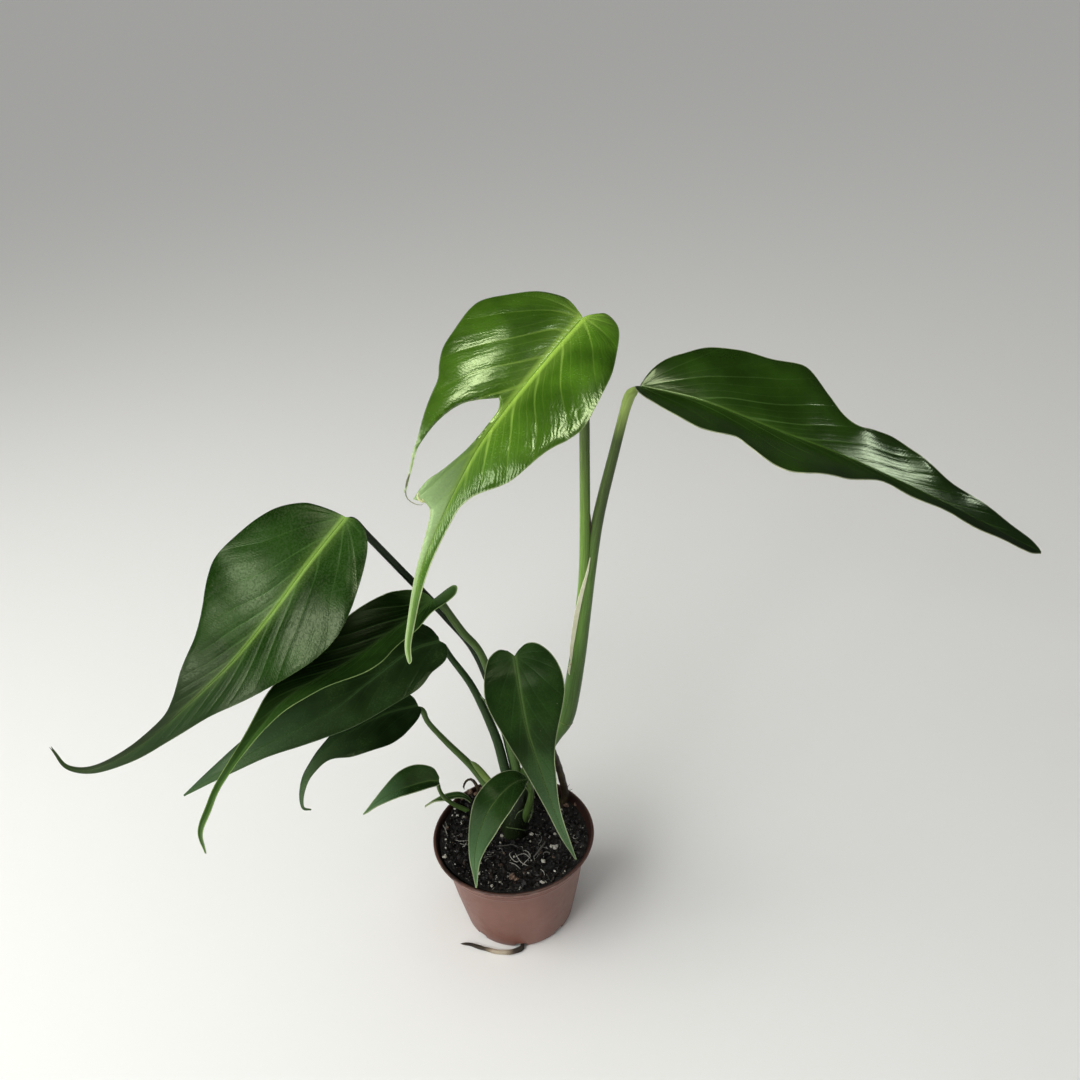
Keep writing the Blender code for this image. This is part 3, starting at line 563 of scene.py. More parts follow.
LEAF_FORMS = (
    LeafForm(
        number=1,
        midrib=((49, 6, 346), (31, -18, 336), (13, -38, 323), (-1, -52, 309),
                (-21, -67, 276), (-31, -71, 243), (-32, -71, 229)),
        face=((0.10, -0.45, 0.85), (0.0, -0.70, 0.70), (-0.10, -0.90, 0.40)),
        left=((-4, 3.6), (-6, 8), (-2, 15), (4, 20), (16, 25), (28, 29), (48, 32),
              (58, 30), (66, 26), (84, 19), (98, 7), (115, 4), (169, 1.6), (176, 0.4)),
        right=((-1.5, 3.6), (-3.5, 9), (-2.5, 14), (3, 22), (14, 29.7), (21, 34.8), (25, 36.9),
               (29, 37.7), (34.5, 37.6), (44, 36.3), (52.5, 35.1), (58.5, 32.4), (64, 29),
               (72.5, 26.6), (85, 22.6), (91, 21.6), (96, 20.1), (100.5, 18.9),
               (105, 17.9), (106.5, 17.2), (107.2, 12.6), (106.6, 8.6), (109, 5.2),
               (118, 3.2), (131, 2), (150, 1.2), (172, 1), (176, 0.4)),
        fold=(18.0, 15.0, 10.0),
        split=((56.2, 5.1, 56.5, 4.6), (57.5, 6.2, 58, 3.4), (62, 11, 61, 2.2),
               (67, 14.8, 67, 2.2), (73, 17.4, 74, 2.4), (80, 19.3, 81, 3.6),
               (88, 20.4, 88, 6.2), (92, 20.0, 93, 8.5), (96, 19.0, 97, 10.8),
               (100.5, 18.1, 100, 12.0), (104, 17.3, 104, 12.8), (113, 16, 112, 13.5)),
        spread=43.0,
        closing=0.016,
        spacing=17.0,
        pucker=0.30,
        rib_width=2.9,
        dome=(1.6, 1.9),
    ),
    LeafForm(
        number=2,
        midrib=((73, 5, 314), (100, 0, 307), (131, -6, 294), (163, -10, 280),
                (207, -15, 257), (252, -20, 231)),
        face=((0.30, -0.32, 0.90), (0.20, -0.32, 0.90), (0.30, -0.50, 0.80)),
        left=((0, 1.3), (3, 9), (9, 17), (16, 23), (24, 29), (34, 32), (48, 36), (64, 39),
              (73, 38), (84, 29), (92, 21), (99, 18), (107, 19.5), (117, 21), (128, 18),
              (143, 13), (160, 10), (189, 5), (197, 2.4), (200, 0.5)),
        right=((-2.2, 1.2), (-1.8, 4.2), (0.8, 9), (5, 15), (13, 24), (24, 28.5), (34, 28),
               (43, 27), (50, 31), (62, 34.5), (72, 33), (91, 23), (109, 12), (122, 9),
               (145, 7.6), (170, 6.6), (192, 4), (200, 0.5)),
        fold=(22.0, 20.0, 12.0),
        wave=0.8,
        spread=26.0,
        spacing=24.0,
        pucker=0.08,
        rib_width=1.3,
    ),
    LeafForm(
        number=3,
        midrib=((-64, 5, 259), (-81, -12, 245), (-98, -24, 228), (-118, -31, 208),
                (-137, -37, 193), (-154, -41, 180), (-171, -44, 169), (-189, -46, 162),
                (-201, -46, 164), (-206, -44, 173)),
        face=((0.10, -0.60, 0.80), (0.0, -0.70, 0.70), (0.0, -0.80, 0.60)),
        left=((-0.8, 1.3), (-1.6, 5), (0.3, 12), (5.8, 17.7), (13.6, 22), (28, 28), (37, 30.6),
              (46, 31.6), (56, 30.2), (67, 26.7), (81, 21.4), (94, 16.8), (110, 11.4),
              (124, 8.4), (150, 4.6), (175, 1.6), (196, 0.4)),
        right=((0, 1.3), (1, 7), (3, 14), (6, 20), (13.5, 27), (21.5, 31.3), (30, 34.2),
               (40, 36.2), (48.5, 37.2), (56, 37), (63, 35), (69, 32), (74.5, 28.4),
               (81, 24.8), (89, 21.4), (99, 17.6), (106, 14), (112, 10.2), (119, 6.6),
               (128, 3.8), (145, 2.8), (175, 1.6), (196, 0.4)),
        fold=(10.0, 10.0, 10.0),
        droop=(4.0, 4.0, 0.0),
        spread=31.0,
        closing=0.035,
        spacing=17.0,
        pucker=0.17,
        rib_width=1.9,
    ),
    LeafForm(
        number=4,
        midrib=((-29.7, 14, 204.7), (-41, 9, 198), (-51.3, 2.5, 194.5), (-69, -11, 189.5),
                (-94, -31, 187), (-107, -43, 180), (-125, -61, 164), (-133, -66, 151),
                (-139, -68, 139), (-139, -69, 127)),
        face=((0.0, -0.30, 0.90), (0.0, -0.30, 0.90), (-0.30, -0.50, 0.60)),
        left=((-9, 0.8), (-12.5, 2.5), (-13.5, 7), (-10.5, 12.5), (-4, 14), (3, 13),
              (10, 14), (24, 15.5), (34, 18), (43, 20), (60, 16), (78, 11), (98, 5),
              (119, 1.8), (160, 1.8), (173, 0.4)),
        right=((0, 1.5), (0.5, 4), (3, 9), (9, 14), (18, 17.5), (38, 19), (64, 14), (91, 8),
               (110, 4), (130, 2.4), (155, 2), (173, 0.4)),
        fold=(35.0, 30.0, 12.0),
        spread=20.0,
        spacing=16.0,
        rib_width=1.1,
    ),
    LeafForm(
        number=5,
        midrib=((-30, 22, 174), (-45, 16, 173), (-65, 4, 165), (-84, -8, 157),
                (-102, -18, 154), (-120, -26, 150), (-139, -32, 142), (-157, -35, 132)),
        face=((0.10, -0.50, 0.80), (0.0, -0.40, 0.85), (0.0, -0.50, 0.80)),
        left=((-1.2, 1.3), (-2.4, 4), (-0.5, 9.7), (4, 13.8), (13, 17), (25, 20), (38, 19),
              (60, 15), (89, 9), (114, 5), (136, 2), (148, 0.4)),
        right=((0, 1.3), (0, 3), (3, 9), (12, 15), (25, 18), (38, 18.6), (60, 17.2), (75, 14.6),
               (89, 12), (106, 8.6), (124, 5.2), (140, 2), (148, 0.4)),
        rib_width=1.1,
    ),
    LeafForm(
        number=6,
        midrib=((-46, 22, 133), (-64, 12, 136), (-87, -6, 135), (-99, -16, 127),
                (-104, -20, 117), (-105, -22, 107), (-101, -22, 105)),
        face=((0.10, -0.50, 0.80), (0.0, -0.50, 0.80), (-0.30, -0.50, 0.60)),
        left=((0, 1.3), (-1, 3), (3, 8), (10, 13), (18, 16), (30, 17), (47, 13), (58, 6),
              (68, 3.6), (84, 1.5), (95, 0.4)),
        right=((0, 1.3), (1, 5), (6, 10), (14, 14), (26, 14), (38, 9), (50, 4), (64, 2.2),
               (84, 1.2), (95, 0.4)),
        spread=22.0,
        spacing=11.0,
        rib_width=0.9,
    ),
    LeafForm(
        number=7,
        midrib=((-40, 20, 80), (-48, 19, 81), (-64, 14, 80), (-74, 10, 77), (-82, 5, 73)),
        face=((0.0, -0.20, 0.95), (0.0, -0.20, 0.95), (-0.10, -0.40, 0.80)),
        left=((0, 1.3), (0, 3.5), (3, 6), (10, 8), (24, 7), (37, 3), (43, 1.4), (46, 0.4)),
        right=((0, 1.3), (0, 3), (4, 8), (11, 11), (20, 10), (30, 5), (38, 2), (46, 0.4)),
        fold=(26.0, 26.0, 12.0),
        wave=0.2,
        spacing=7.0,
        pucker=0.06,
        rib_width=0.7,
    ),
    LeafForm(
        number=8,
        midrib=((9, -6, 182), (10, -14, 176), (11, -20, 168), (13, -26, 152),
                (16, -28, 137), (25, -29, 94), (33, -26, 62)),
        face=((0.0, -0.60, 0.75), (0.0, -0.80, 0.50), (0.10, -0.90, 0.40)),
        left=((-3, 3), (-5, 7), (-4, 12), (1, 17), (9, 21), (17, 22), (26, 20),
              (53, 10), (67, 7), (88, 3.4), (112, 1.8), (131, 0.4)),
        right=((-3, 3), (-4, 7), (-2, 11), (2, 14), (12, 17), (22, 17), (41, 11),
               (57, 8), (88, 3.8), (112, 2.2), (131, 0.4)),
        fold=(14.0, 12.0, 12.0),
        droop=(4.0, 4.0, 0.0),
        spread=20.0,
        spacing=15.0,
        rib_width=1.5,
    ),
    LeafForm(
        number=9,
        midrib=((10, -8, 103), (4, -14, 107), (-4, -23, 107), (-12, -31, 100),
                (-18, -39, 85), (-19, -45, 66)),
        face=((-0.10, -0.40, 0.90), (-0.20, -0.70, 0.70), (-0.20, -0.80, 0.60)),
        left=((0, 1.3), (3, 3), (10, 7), (24, 10), (38, 9), (50, 5.5), (60, 2.6), (73, 0.4)),
        right=((0, 1.3), (0, 3), (5, 6), (14, 9), (28, 9.5), (38, 7), (50, 4), (62, 2),
               (73, 0.4)),
        fold=(12.0, 10.0, 10.0),
        droop=(4.0, 4.0, 0.0),
        wave=0.2,
        spacing=8.0,
        pucker=0.06,
        rib_width=0.7,
    ),
)


@dataclass
class Blade:
    """The curved surface of a leaf, addressed by flat (along, out) places.

    Attributes:
        form: Where the leaf lies.
        steps: How many steps its frames take along the midrib.
    """

    form: LeafForm
    steps: int = 120

    def __post_init__(self) -> None:
        """Lay frames along the midrib."""
        line = smooth_line(self.form.midrib, 12)
        shares = np.linspace(0.0, 1.0, self.steps + 1)
        self.length = float(reach_of(line)[-1])
        self.centres = sample(line, shares)
        ends = np.vstack([self.centres[:1], self.centres, self.centres[-1:]])
        self.ahead = unit(ends[2:] - ends[:-2])
        face = self.blend(self.form.face, shares)
        self.up = unit(face - self.ahead * np.sum(face * self.ahead, axis=1, keepdims=True))
        self.left = np.cross(self.up, self.ahead)

    @staticmethod
    def blend(values: tuple, shares: Array) -> Array:
        """Blend three numbers or directions given at the base, the middle and the tip."""
        known = np.asarray(values, dtype=float).reshape(3, -1)
        mixed = [np.interp(shares, (0.0, 0.5, 1.0), column) for column in known.T]
        return np.stack(mixed, axis=-1) if len(mixed) > 1 else mixed[0]

    def place(self, along: Array, out: Array,
              side: Array) -> tuple[Array, Array]:
        """Bend flat places onto the leaf.

        Args:
            along: Distances along the midrib.
            out: Distances out from it.
            side: +1 on the left half and -1 on the right half.

        Returns:
            The points and the surface normals.
        """
        inside = np.clip(along, 0.0, self.length)
        share = inside / self.length
        position = share * self.steps
        index = np.minimum(position.astype(int), self.steps - 1)
        t = (position - index)[:, None]
        centre, ahead, up, left = (table[index] * (1.0 - t) + table[index + 1] * t for table in
                                   (self.centres, self.ahead, self.up, self.left))
        ahead, up, left = unit(ahead), unit(up), unit(left)
        start = np.radians(self.blend(self.form.fold, share))
        bend = -np.radians(self.blend(self.form.droop, share)) / 10.0
        bend = np.where(np.abs(bend) < 1e-6, -1e-6, bend)
        turned = start + bend * out
        sideways = (np.sin(turned) - np.sin(start)) / bend
        lifted = (np.cos(start) - np.cos(turned)) / bend
        points = centre + ahead * (along - inside)[:, None]
        points = points + left * (side * sideways)[:, None] + up * lifted[:, None]
        tilt = turned * ease(out, 0.0, 1.5)
        normals = unit(up * np.cos(tilt)[:, None] - left * (side * np.sin(tilt))[:, None])
        return points, normals


@dataclass
class LeafPiece:
    """One finely modelled leaf with its midrib, side veins and margin.

    Attributes:
        form: Where the leaf lies and its outline.
        cell: Aimed size of the grid's faces.
        thickness: Thickness of the blade.
        edge_share: Share of the thickness that is left at the margin.
        crown: How far the midrib stands out above at the base.
        keel: How far it stands out below at the base.
        crowding: Power by which the grid's lines crowd towards the midrib.
        base_crowding: Power by which they crowd towards the base.
    """

    form: LeafForm
    cell: float = 0.75
    thickness: float = 0.7
    edge_share: float = 0.45
    crown: float = 0.10
    keel: float = 1.3
    crowding: float = 1.25
    base_crowding: float = 1.3

    def __post_init__(self) -> None:
        """Lay the curved surface and choose the fineness of the grid."""
        self.blade = Blade(self.form)
        self.rows = int(self.blade.length / self.cell)
        widest = max(point[1] for point in self.form.left + self.form.right)
        self.across = int(min(max(widest / self.cell, 12), 36))

    def flat_sheet(self) -> Item:
        """Shape a grid to the flattened outline and give it its thickness."""
        item, where = new_grid(f"blade_{self.form.number}", self.rows, 2 * self.across)
        t = where[:, 0]
        signed = where[:, 1] * 2.0 - 1.0
        share = np.abs(signed) ** self.crowding
        left = sample(smooth_line(self.form.left, 8), t)
        right = sample(smooth_line(self.form.right, 8), t)
        edge = np.where((signed > 0.0)[:, None], left, right)
        root = self.blade.length * t ** self.base_crowding
        along = root + (edge[:, 0] - root) * share
        out = edge[:, 1] * share * np.sign(signed)
        move_points(item, np.stack([along, out, np.zeros_like(t)], axis=-1))
        write_map(item, "flat", t, share * np.sign(signed))
        apply_modifier(item, "SOLIDIFY", thickness=self.thickness * MM, offset=0.0)
        return item

    def cut_split(self, item: Item) -> None:
        """Cut the deep split out of the right half."""
        line = smooth_line(self.form.split, 6)
        cutter, where = new_grid("cutter", len(line) - 1, 1)
        row = line[np.rint(where[:, 0] * (len(line) - 1)).astype(int)]
        near = (where[:, 1] < 0.5)[:, None]
        flat = np.where(near, row[:, 0:2], row[:, 2:4])
        move_points(cutter, np.stack([flat[:, 0], -flat[:, 1], np.zeros(len(flat))], axis=-1))
        apply_modifier(cutter, "SOLIDIFY", thickness=6.0 * MM, offset=0.0)
        face_outward(cutter)
        apply_modifier(item, "BOOLEAN", operation="DIFFERENCE", solver="EXACT", object=cutter)
        bpy.data.objects.remove(cutter, do_unlink=True)

    def split_distance(self, along: Array, out: Array) -> Array:
        """Give the flat distance from places on the right half to the split's edge."""
        line = smooth_line(self.form.split, 6)
        edge = np.vstack([line[:, 0:2], line[::-1, 2:4]])
        distance = np.full(len(along), FAR)
        for x, y in edge:
            distance = np.minimum(distance, np.hypot(along - x, out - y))
        return distance

    def side_veins(self, along: Array, out: Array, side: Array) -> Array:
        """Number the side veins: whole numbers lie on a vein.

        They fan out from the petiole, and farther on they leave the midrib one by one.

        Args:
            along: Distances along the midrib.
            out: Distances out from it.
            side: +1 on the left half and -1 on the right half.

        Returns:
            The vein number at each place.
        """
        spread = math.radians(self.form.spread)
        straight = along - 0.006 * out ** 2
        start = (straight - out / math.tan(spread)) / (1.0 + self.form.closing * out)
        fan = (spread - np.arctan2(out, straight)) / FAN_STEP
        phase = np.where(start >= 0.0, start / self.form.spacing, fan)
        drift = ripple_noise(along / 16.0, out / 13.0, self.form.number + side)
        return phase + np.where(side > 0.0, 8.0, 8.42) + 0.13 * drift * ease(out, 0.0, 8.0)

    def vein_pitch(self, along: Array, out: Array, side: Array) -> Array:
        """Give the distance between neighbouring side veins at each place."""
        step = 0.05
        here = self.side_veins(along, out, side)
        ahead = (self.side_veins(along + step, out, side) - here) / step
        aside = (self.side_veins(along, out + step, side) - here) / step
        return np.clip(1.0 / np.maximum(np.hypot(ahead, aside), 1e-3), 0.3, 30.0)

    def build(self, materials: tuple[Material, ...]) -> Item:
        """Model the leaf with its maps of veins and distances, and dress it.

        Args:
            materials: Finish of the upper face, the underside and the edge.

        Returns:
            The finished leaf.
        """
        item = self.flat_sheet()
        if self.form.split:
            self.cut_split(item)
        flat = points_of(item) / MM
        maps = read_map(item, "flat")
        t, signed = maps[:, 0], maps[:, 1]
        share = np.abs(signed)
        along, out = flat[:, 0], np.abs(flat[:, 1])
        side = np.where(flat[:, 1] >= 0.0, 1.0, -1.0)
        points, normals = self.blade.place(along, out, side)

        phase = self.side_veins(along, out, side)
        pitch = self.vein_pitch(along, out, side)
        taper = 1.0 - 0.80 * t
        rib = self.form.rib_width * taper
        width = out / np.maximum(share, 1e-3)
        margin = (1.0 - share) * width
        if self.form.split:
            from_split = np.where(side < 0.0, self.split_distance(along, out), FAR)
            margin = np.minimum(margin, from_split)
        lift = self.swelling(along, out, side, phase, share, width, margin, rib)
        crown = np.exp(-(out / np.maximum(rib, 0.25)) ** 2)
        above = lift + self.crown * crown * taper
        keel = np.exp(-(out / np.maximum(0.7 * rib, 0.3)) ** 2)
        below = lift - self.keel * (1.0 - t) ** 0.8 * keel
        thinned = flat[:, 2] * (self.edge_share + (1.0 - self.edge_share) * ease(margin, 0.0, 1.8))
        height = np.where(flat[:, 2] > 0.0, above, below) + thinned
        move_points(item, points + normals * height[:, None])
        write_map(item, "veins", phase, pitch)
        write_map(item, "reach", out / np.maximum(rib, 0.2), margin)
        for material in materials:
            item.data.materials.append(material)
        self.mark_faces(item, flat[:, 2])
        smooth(item, 50.0)
        if self.form.split:
            item = join([item, *self.lobe_ends()], item.name)
        return item

    def swelling(self, along: Array, out: Array, side: Array, phase: Array,
                 share: Array, width: Array, margin: Array,
                 rib: Array) -> Array:
        """Work out how far the blade rises over its smooth surface.

        Args:
            along: Distances along the midrib.
            out: Distances out from it.
            side: +1 on the left half and -1 on the right half.
            phase: The vein numbers.
            share: Shares of the way out to the margin.
            width: Widths of the half blade.
            margin: Distances from the margin.
            rib: Widths of the pale midrib.

        Returns:
            The rise at each place in millimetres.
        """
        # Slow waves of the margin, the dome of each half, the swelling between the side
        # veins and their finer neighbours, then slow and quick uneven ripples.
        number, pucker = self.form.number, self.form.pucker
        body = ease(out, rib, rib + 5.0) * ease(width, 2.0, 9.0) * ease(margin, 0.0, 2.5)
        wave = np.sin(along * 0.19 + side) * self.form.wave * share ** 2
        lift = wave * np.minimum(width / 12.0, 1.0)
        dome = np.where(side > 0.0, *self.form.dome)
        lift = lift + dome * np.sin(share * math.pi) * np.minimum(width / 30.0, 1.0)
        wide = np.abs(np.sin(phase * math.pi)) - 0.6
        narrow = np.abs(np.sin(phase * math.pi * 3.0)) - 0.6
        slow = ripple_noise(along / 9.0, out / 9.0, 3.0 * number + side)
        quick = ripple_noise(along / 2.6, out / 2.6, 7.0 + number)
        uneven = wide + 0.35 * narrow + 1.3 * slow * share + 0.12 * quick
        return lift + pucker * body * uneven

    @staticmethod
    def lobe_ends() -> list[Item]:
        """Model the thread that ends the long lobe and the curled corner beside it."""
        ends = []
        for stalk, finish in zip(LOBE_ENDS, (LOBE_THREAD, LOBE_CURL)):
            item = stalk.build()
            item.data.materials.append(finish.build())
            ends.append(item)
        return ends

    @staticmethod
    def mark_faces(item: Item, layer: Array) -> None:
        """Give the upper face, the underside and the edge their own material slots."""
        starts = np.zeros(len(item.data.polygons), dtype=np.int32)
        item.data.polygons.foreach_get("loop_start", starts)
        heights = layer[corner_points(item)]
        low = np.minimum.reduceat(heights, starts)
        high = np.maximum.reduceat(heights, starts)
        slots = np.where(low > 0.0, 0, np.where(high < 0.0, 1, 2))
        item.data.polygons.foreach_set("material_index", slots.astype(np.int32))
        item.data.update()


# Materials


@dataclass(frozen=True)
class LeafSkin:
    """Waxy cuticle over green leaf tissue.

    The cuticle is a smooth clear wax, so the leaf shines in soft patches that its fine
    parallel ripples break up. Side veins are paler and slightly sunk.

    Attributes:
        name: The material's name.
        deep: The tissue's darker green.
        light: The tissue's lighter green.
        rib: Colour of the midrib.
        vein: Colour of the side veins.
        edge: Colour of the thin margin.
        tail: Colour of the left half towards the drip tip, painted light and shade on several
            skins.
        tail_right: Colour of the right half towards the drip tip, painted light and shade on
            several skins.
        under: Green of the underside.
        roughness: Roughness of the upper face.
        veining: How much the side veins show.
        rib_end: How much the midrib's pale colour is left at the tip.
        crossings: Number of cross wrinkles from the petiole to the tip.
        stipple: Height of the cells' stipple in tenths of a millimetre.
        wrinkle: Height of the cross wrinkles in tenths of a millimetre.
        ripples: Fine ripples for each side vein.
        ripple: Height of those ripples in tenths of a millimetre.
        rim: How pale the outermost half millimetre is.
        gloss: Specular level of the cuticle.
        tail_span: Shares of the length over which the tail's colours take over.
        painted_shade_right: Painted shade on the right half before the tail, as its brightness
            where it turns away.
        rim_end: How pale the rim is along the tail.
        calm_right: How much of the fine ripples the right half keeps.
        pale_and_lit_base: How much paler the blade is round the petiole: paler young tissue, and
            painted light on a basal lobe that faces the light.
        dull_tail: How much rougher the wax is along the tail.
    """

    name: str
    deep: str
    light: str
    rib: str
    vein: str
    edge: str
    tail: str
    tail_right: str
    under: str
    roughness: float = 0.36
    veining: float = 0.5
    rib_end: float = 0.35
    crossings: float = 190.0
    stipple: float = 1.1
    wrinkle: float = 0.7
    ripples: float = 14.0
    ripple: float = 0.4
    rim: float = 0.3
    gloss: float = 0.5
    tail_span: tuple[float, float] = (0.45, 0.85)
    painted_shade_right: float = 1.0
    rim_end: float = 0.3
    calm_right: float = 1.0
    pale_and_lit_base: float = 0.1
    dull_tail: float = 0.0

    @staticmethod
    def lines(paint: Paint, phase: Socket, pitch: Socket, times: float, inner: float,
              outer: Feed) -> Socket:
        """Mask lines that run with the side veins.

        Args:
            paint: The material in the making.
            phase: The vein number.
            pitch: Millimetres from one side vein to the next.
            times: Lines for each side vein.
            inner: Half width that is full strength, in millimetres.
            outer: Half width where the line ends, in millimetres.

        Returns:
            The mask, 1 on the lines.
        """
        near = paint.calc("PINGPONG", paint.product(phase, times), 0.5)
        apart = paint.calc("DIVIDE", paint.product(near, pitch), times)
        return paint.ramp(apart, inner, outer, 1.0, 0.0, soft=True)

    @staticmethod
    def waves(paint: Paint, value: Socket, count: float, wander: Socket) -> Socket:
        """Fold a value into many fine waves that wander a little."""
        many = paint.calc("MULTIPLY_ADD", wander, 4.0, paint.product(value, count))
        return paint.calc("PINGPONG", many, 0.5)

    def upper(self) -> Material:
        """Build the upper face's material."""
        paint = Paint(self.name + "_upper")
        phase, pitch = paint.from_map("veins", 0), paint.from_map("veins", 1)
        rib_way, margin = paint.from_map("reach", 0), paint.from_map("reach", 1)
        along, across = paint.from_map("flat", 0), paint.from_map("flat", 1)
        share = paint.calc("ABSOLUTE", across)
        right_half = paint.ramp(across, -0.12, 0.10, 1.0, 0.0)
        to_tail = paint.ramp(along, *self.tail_span, 0.0, 0.9)
        # Patches of 20 to 30 mm, mottling of about 1 mm.
        patch = paint.noise(42.0, 3.0)
        mottle = paint.noise(1100.0, 2.0)
        broken = paint.ramp(patch, 0.35, 0.6, 0.5, 1.0)
        # Side veins are 0.5 mm wide and widen where they leave the midrib. Finer ones run
        # between them. All fade towards the margin and along the tail.
        widened = paint.ramp(rib_way, 1.0, 5.0, 1.1, 0.50)
        main = self.lines(paint, phase, pitch, 1.0, 0.10, widened)
        lesser = self.lines(paint, phase, pitch, 3.0, 0.05, 0.38)
        any_vein = paint.calc("MAXIMUM", main, paint.product(lesser, 0.26))
        fade = paint.ramp(share, 0.20, 0.85, self.veining, 0.05)
        faint = paint.ramp(to_tail, 0.0, 0.9, 1.0, 0.2)
        shown = paint.product(any_vein, fade, broken, faint)

        tissue = paint.colours(patch, ((0.36, self.deep), (0.64, self.light)))
        # Painted shade: the right half is darkened where it turns away from the light.
        tissue = paint.scale(tissue, paint.ramp(right_half, 0.0, 1.0, 1.0, self.painted_shade_right))
        # Painted light along the tail: the tail colours lay painted sheen and painted shade over
        # each half.
        tail = paint.mix(right_half, self.tail, self.tail_right)
        tissue = paint.mix(to_tail, tissue, tail)
        # Round the petiole the blade pales towards the vein colour: paler young tissue, and
        # painted light on the shade leaf's basal lobe.
        pale_lit_base = paint.ramp(along, 0.02, 0.12, self.pale_and_lit_base, 0.0)
        tissue = paint.mix(pale_lit_base, tissue, self.vein)
        # Each half is darker in its outer quarter.
        tissue = paint.scale(tissue, paint.ramp(share, 0.75, 1.0, 1.0, 0.70))
        tissue = paint.scale(tissue, paint.ramp(mottle, 0.3, 0.7, 0.93, 1.07))
        tissue = paint.mix(shown, tissue, self.vein)
        # The midrib is pale, with a faint glow of the same colour beside it.
        glow = paint.ramp(rib_way, 0.9, 4.0, 0.16, 0.0, soft=True)
        rib = paint.ramp(rib_way, 0.25, 1.6, 1.0, 0.0, soft=True)
        worn = paint.ramp(along, 0.30, self.tail_span[1], 0.95, self.rib_end)
        rib = paint.product(paint.calc("MAXIMUM", rib, glow), worn)
        tissue = paint.mix(rib, tissue, self.rib)
        # Sparse pale specks of a quarter of a millimetre, dust and dried drops.
        cells = paint.add("TexVoronoi", {"Vector": paint.place(), "Scale": 140.0}, output=0)
        speck = paint.ramp(cells, 0.022, 0.040, 0.15, 0.0)
        tissue = paint.mix(speck, tissue, "#c8cfae")
        strength = paint.ramp(to_tail, 0.0, 0.9, self.rim, self.rim_end)
        rim = paint.ramp(margin, 0.10, 0.50, 1.0, 0.0, soft=True)
        colour = paint.mix(paint.product(rim, strength, broken), tissue, self.edge)

        # Fine lines run with the veins, 1 to 2 mm apart; wrinkles cross the outer half at
        # 1.6 mm; the cells stipple the wax and dull it in specks of about 1 mm.
        stipple = paint.noise(1050.0, 3.0)
        rough = paint.ramp(patch, 0.3, 0.7, self.roughness - 0.03, self.roughness + 0.03)
        dulled = paint.ramp(stipple, 0.45, 0.62, 0.0, 0.13 * self.stipple)
        rough = paint.calc("MULTIPLY_ADD", to_tail, self.dull_tail,
                           paint.calc("ADD", rough, dulled))
        wander = paint.noise(120.0, 2.0)
        calm = paint.ramp(right_half, 0.0, 1.0, 1.0, self.calm_right)
        ripple = paint.product(self.waves(paint, phase, self.ripples, wander), calm)
        outer = paint.ramp(share, 0.45, 0.75)
        cross = paint.product(self.waves(paint, along, self.crossings, wander), outer)
        height = paint.product(any_vein, -0.3)
        for part, weight in ((ripple, self.ripple), (cross, self.wrinkle),
                             (stipple, 0.5 * self.stipple)):
            height = paint.calc("MULTIPLY_ADD", part, weight, height)
        return paint.finish({
            "Base Color": colour, "Roughness": rough, "Normal": paint.bump(height, 1.0, 0.0001),
            "IOR": 1.45, "Specular IOR Level": self.gloss, "Specular Tint": "#e2f5c2"})

    def lower(self) -> Material:
        """Build the underside's paler, duller material."""
        paint = Paint(self.name + "_under")
        near_vein = paint.calc("PINGPONG", paint.from_map("veins", 0), 0.5)
        vein = paint.ramp(near_vein, 0.01, 0.07, 0.7, 0.0, soft=True)
        patch = paint.noise(300.0, 4.0)
        tissue = paint.scale(self.under, paint.ramp(patch, 0.3, 0.7, 0.82, 1.08))
        tissue = paint.mix(vein, tissue, self.vein)
        rib = paint.ramp(paint.from_map("reach", 0), 0.5, 1.1, 0.85, 0.0)
        height = paint.calc("MULTIPLY_ADD", vein, 2.0, patch)
        return paint.finish({
            "Base Color": paint.mix(rib, tissue, self.rib), "Roughness": 0.55,
            "Normal": paint.bump(height, 0.6, 0.00012), "IOR": 1.42})

    def margin(self) -> Material:
        """Build the thin pale edge's material."""
        paint = Paint(self.name + "_edge")
        colour = paint.colours(paint.noise(220.0, 2.0), ((0.35, self.edge), (0.75, self.vein)))
        return paint.finish({"Base Color": colour, "Roughness": 0.45, "IOR": 1.45})


# The tail colours are painted light: painted sheen on the young leaf's right half and painted
# shade on its left half, painted shade on the satin leaf, painted sheen on the dusk and small
# leaves.
YOUNG_SKIN = LeafSkin(
    "young_leaf", deep="#35580a", light="#4a7314", rib="#a9cf54", vein="#86a942", edge="#c3cf9c",
    tail="#3f661c", tail_right="#a6c488", under="#7f9f4a", roughness=0.20, veining=0.8,
    rib_end=0.15, stipple=0.5, wrinkle=0.25, ripples=7.0, ripple=1.0, rim=0.2, rim_end=0.85,
    gloss=1.0, tail_span=(0.50, 0.68), calm_right=0.45, pale_and_lit_base=0.25)
GLOSSY_SKIN = LeafSkin(
    "glossy_leaf", deep="#1d3606", light="#2b4a0d", rib="#4f6f28", vein="#4d6c30", edge="#c4caa2",
    tail="#0f2209", tail_right="#0b1a07", under="#4c6a35", roughness=0.14, veining=0.8,
    rib_end=0.10, stipple=0.3, wrinkle=0.25, ripple=0.12, rim=0.8, rim_end=0.45, gloss=0.72)
SATIN_SKIN = LeafSkin(
    "satin_leaf", deep="#122b04", light="#1e3f09", rib="#7d9f45", vein="#46692e", edge="#4f6436",
    tail="#162a12", tail_right="#0a150a", under="#54733c", roughness=0.23, rib_end=0.05,
    wrinkle=0.3, ripple=0.25, rim=0.15, gloss=0.52, tail_span=(0.42, 0.72), dull_tail=0.2)
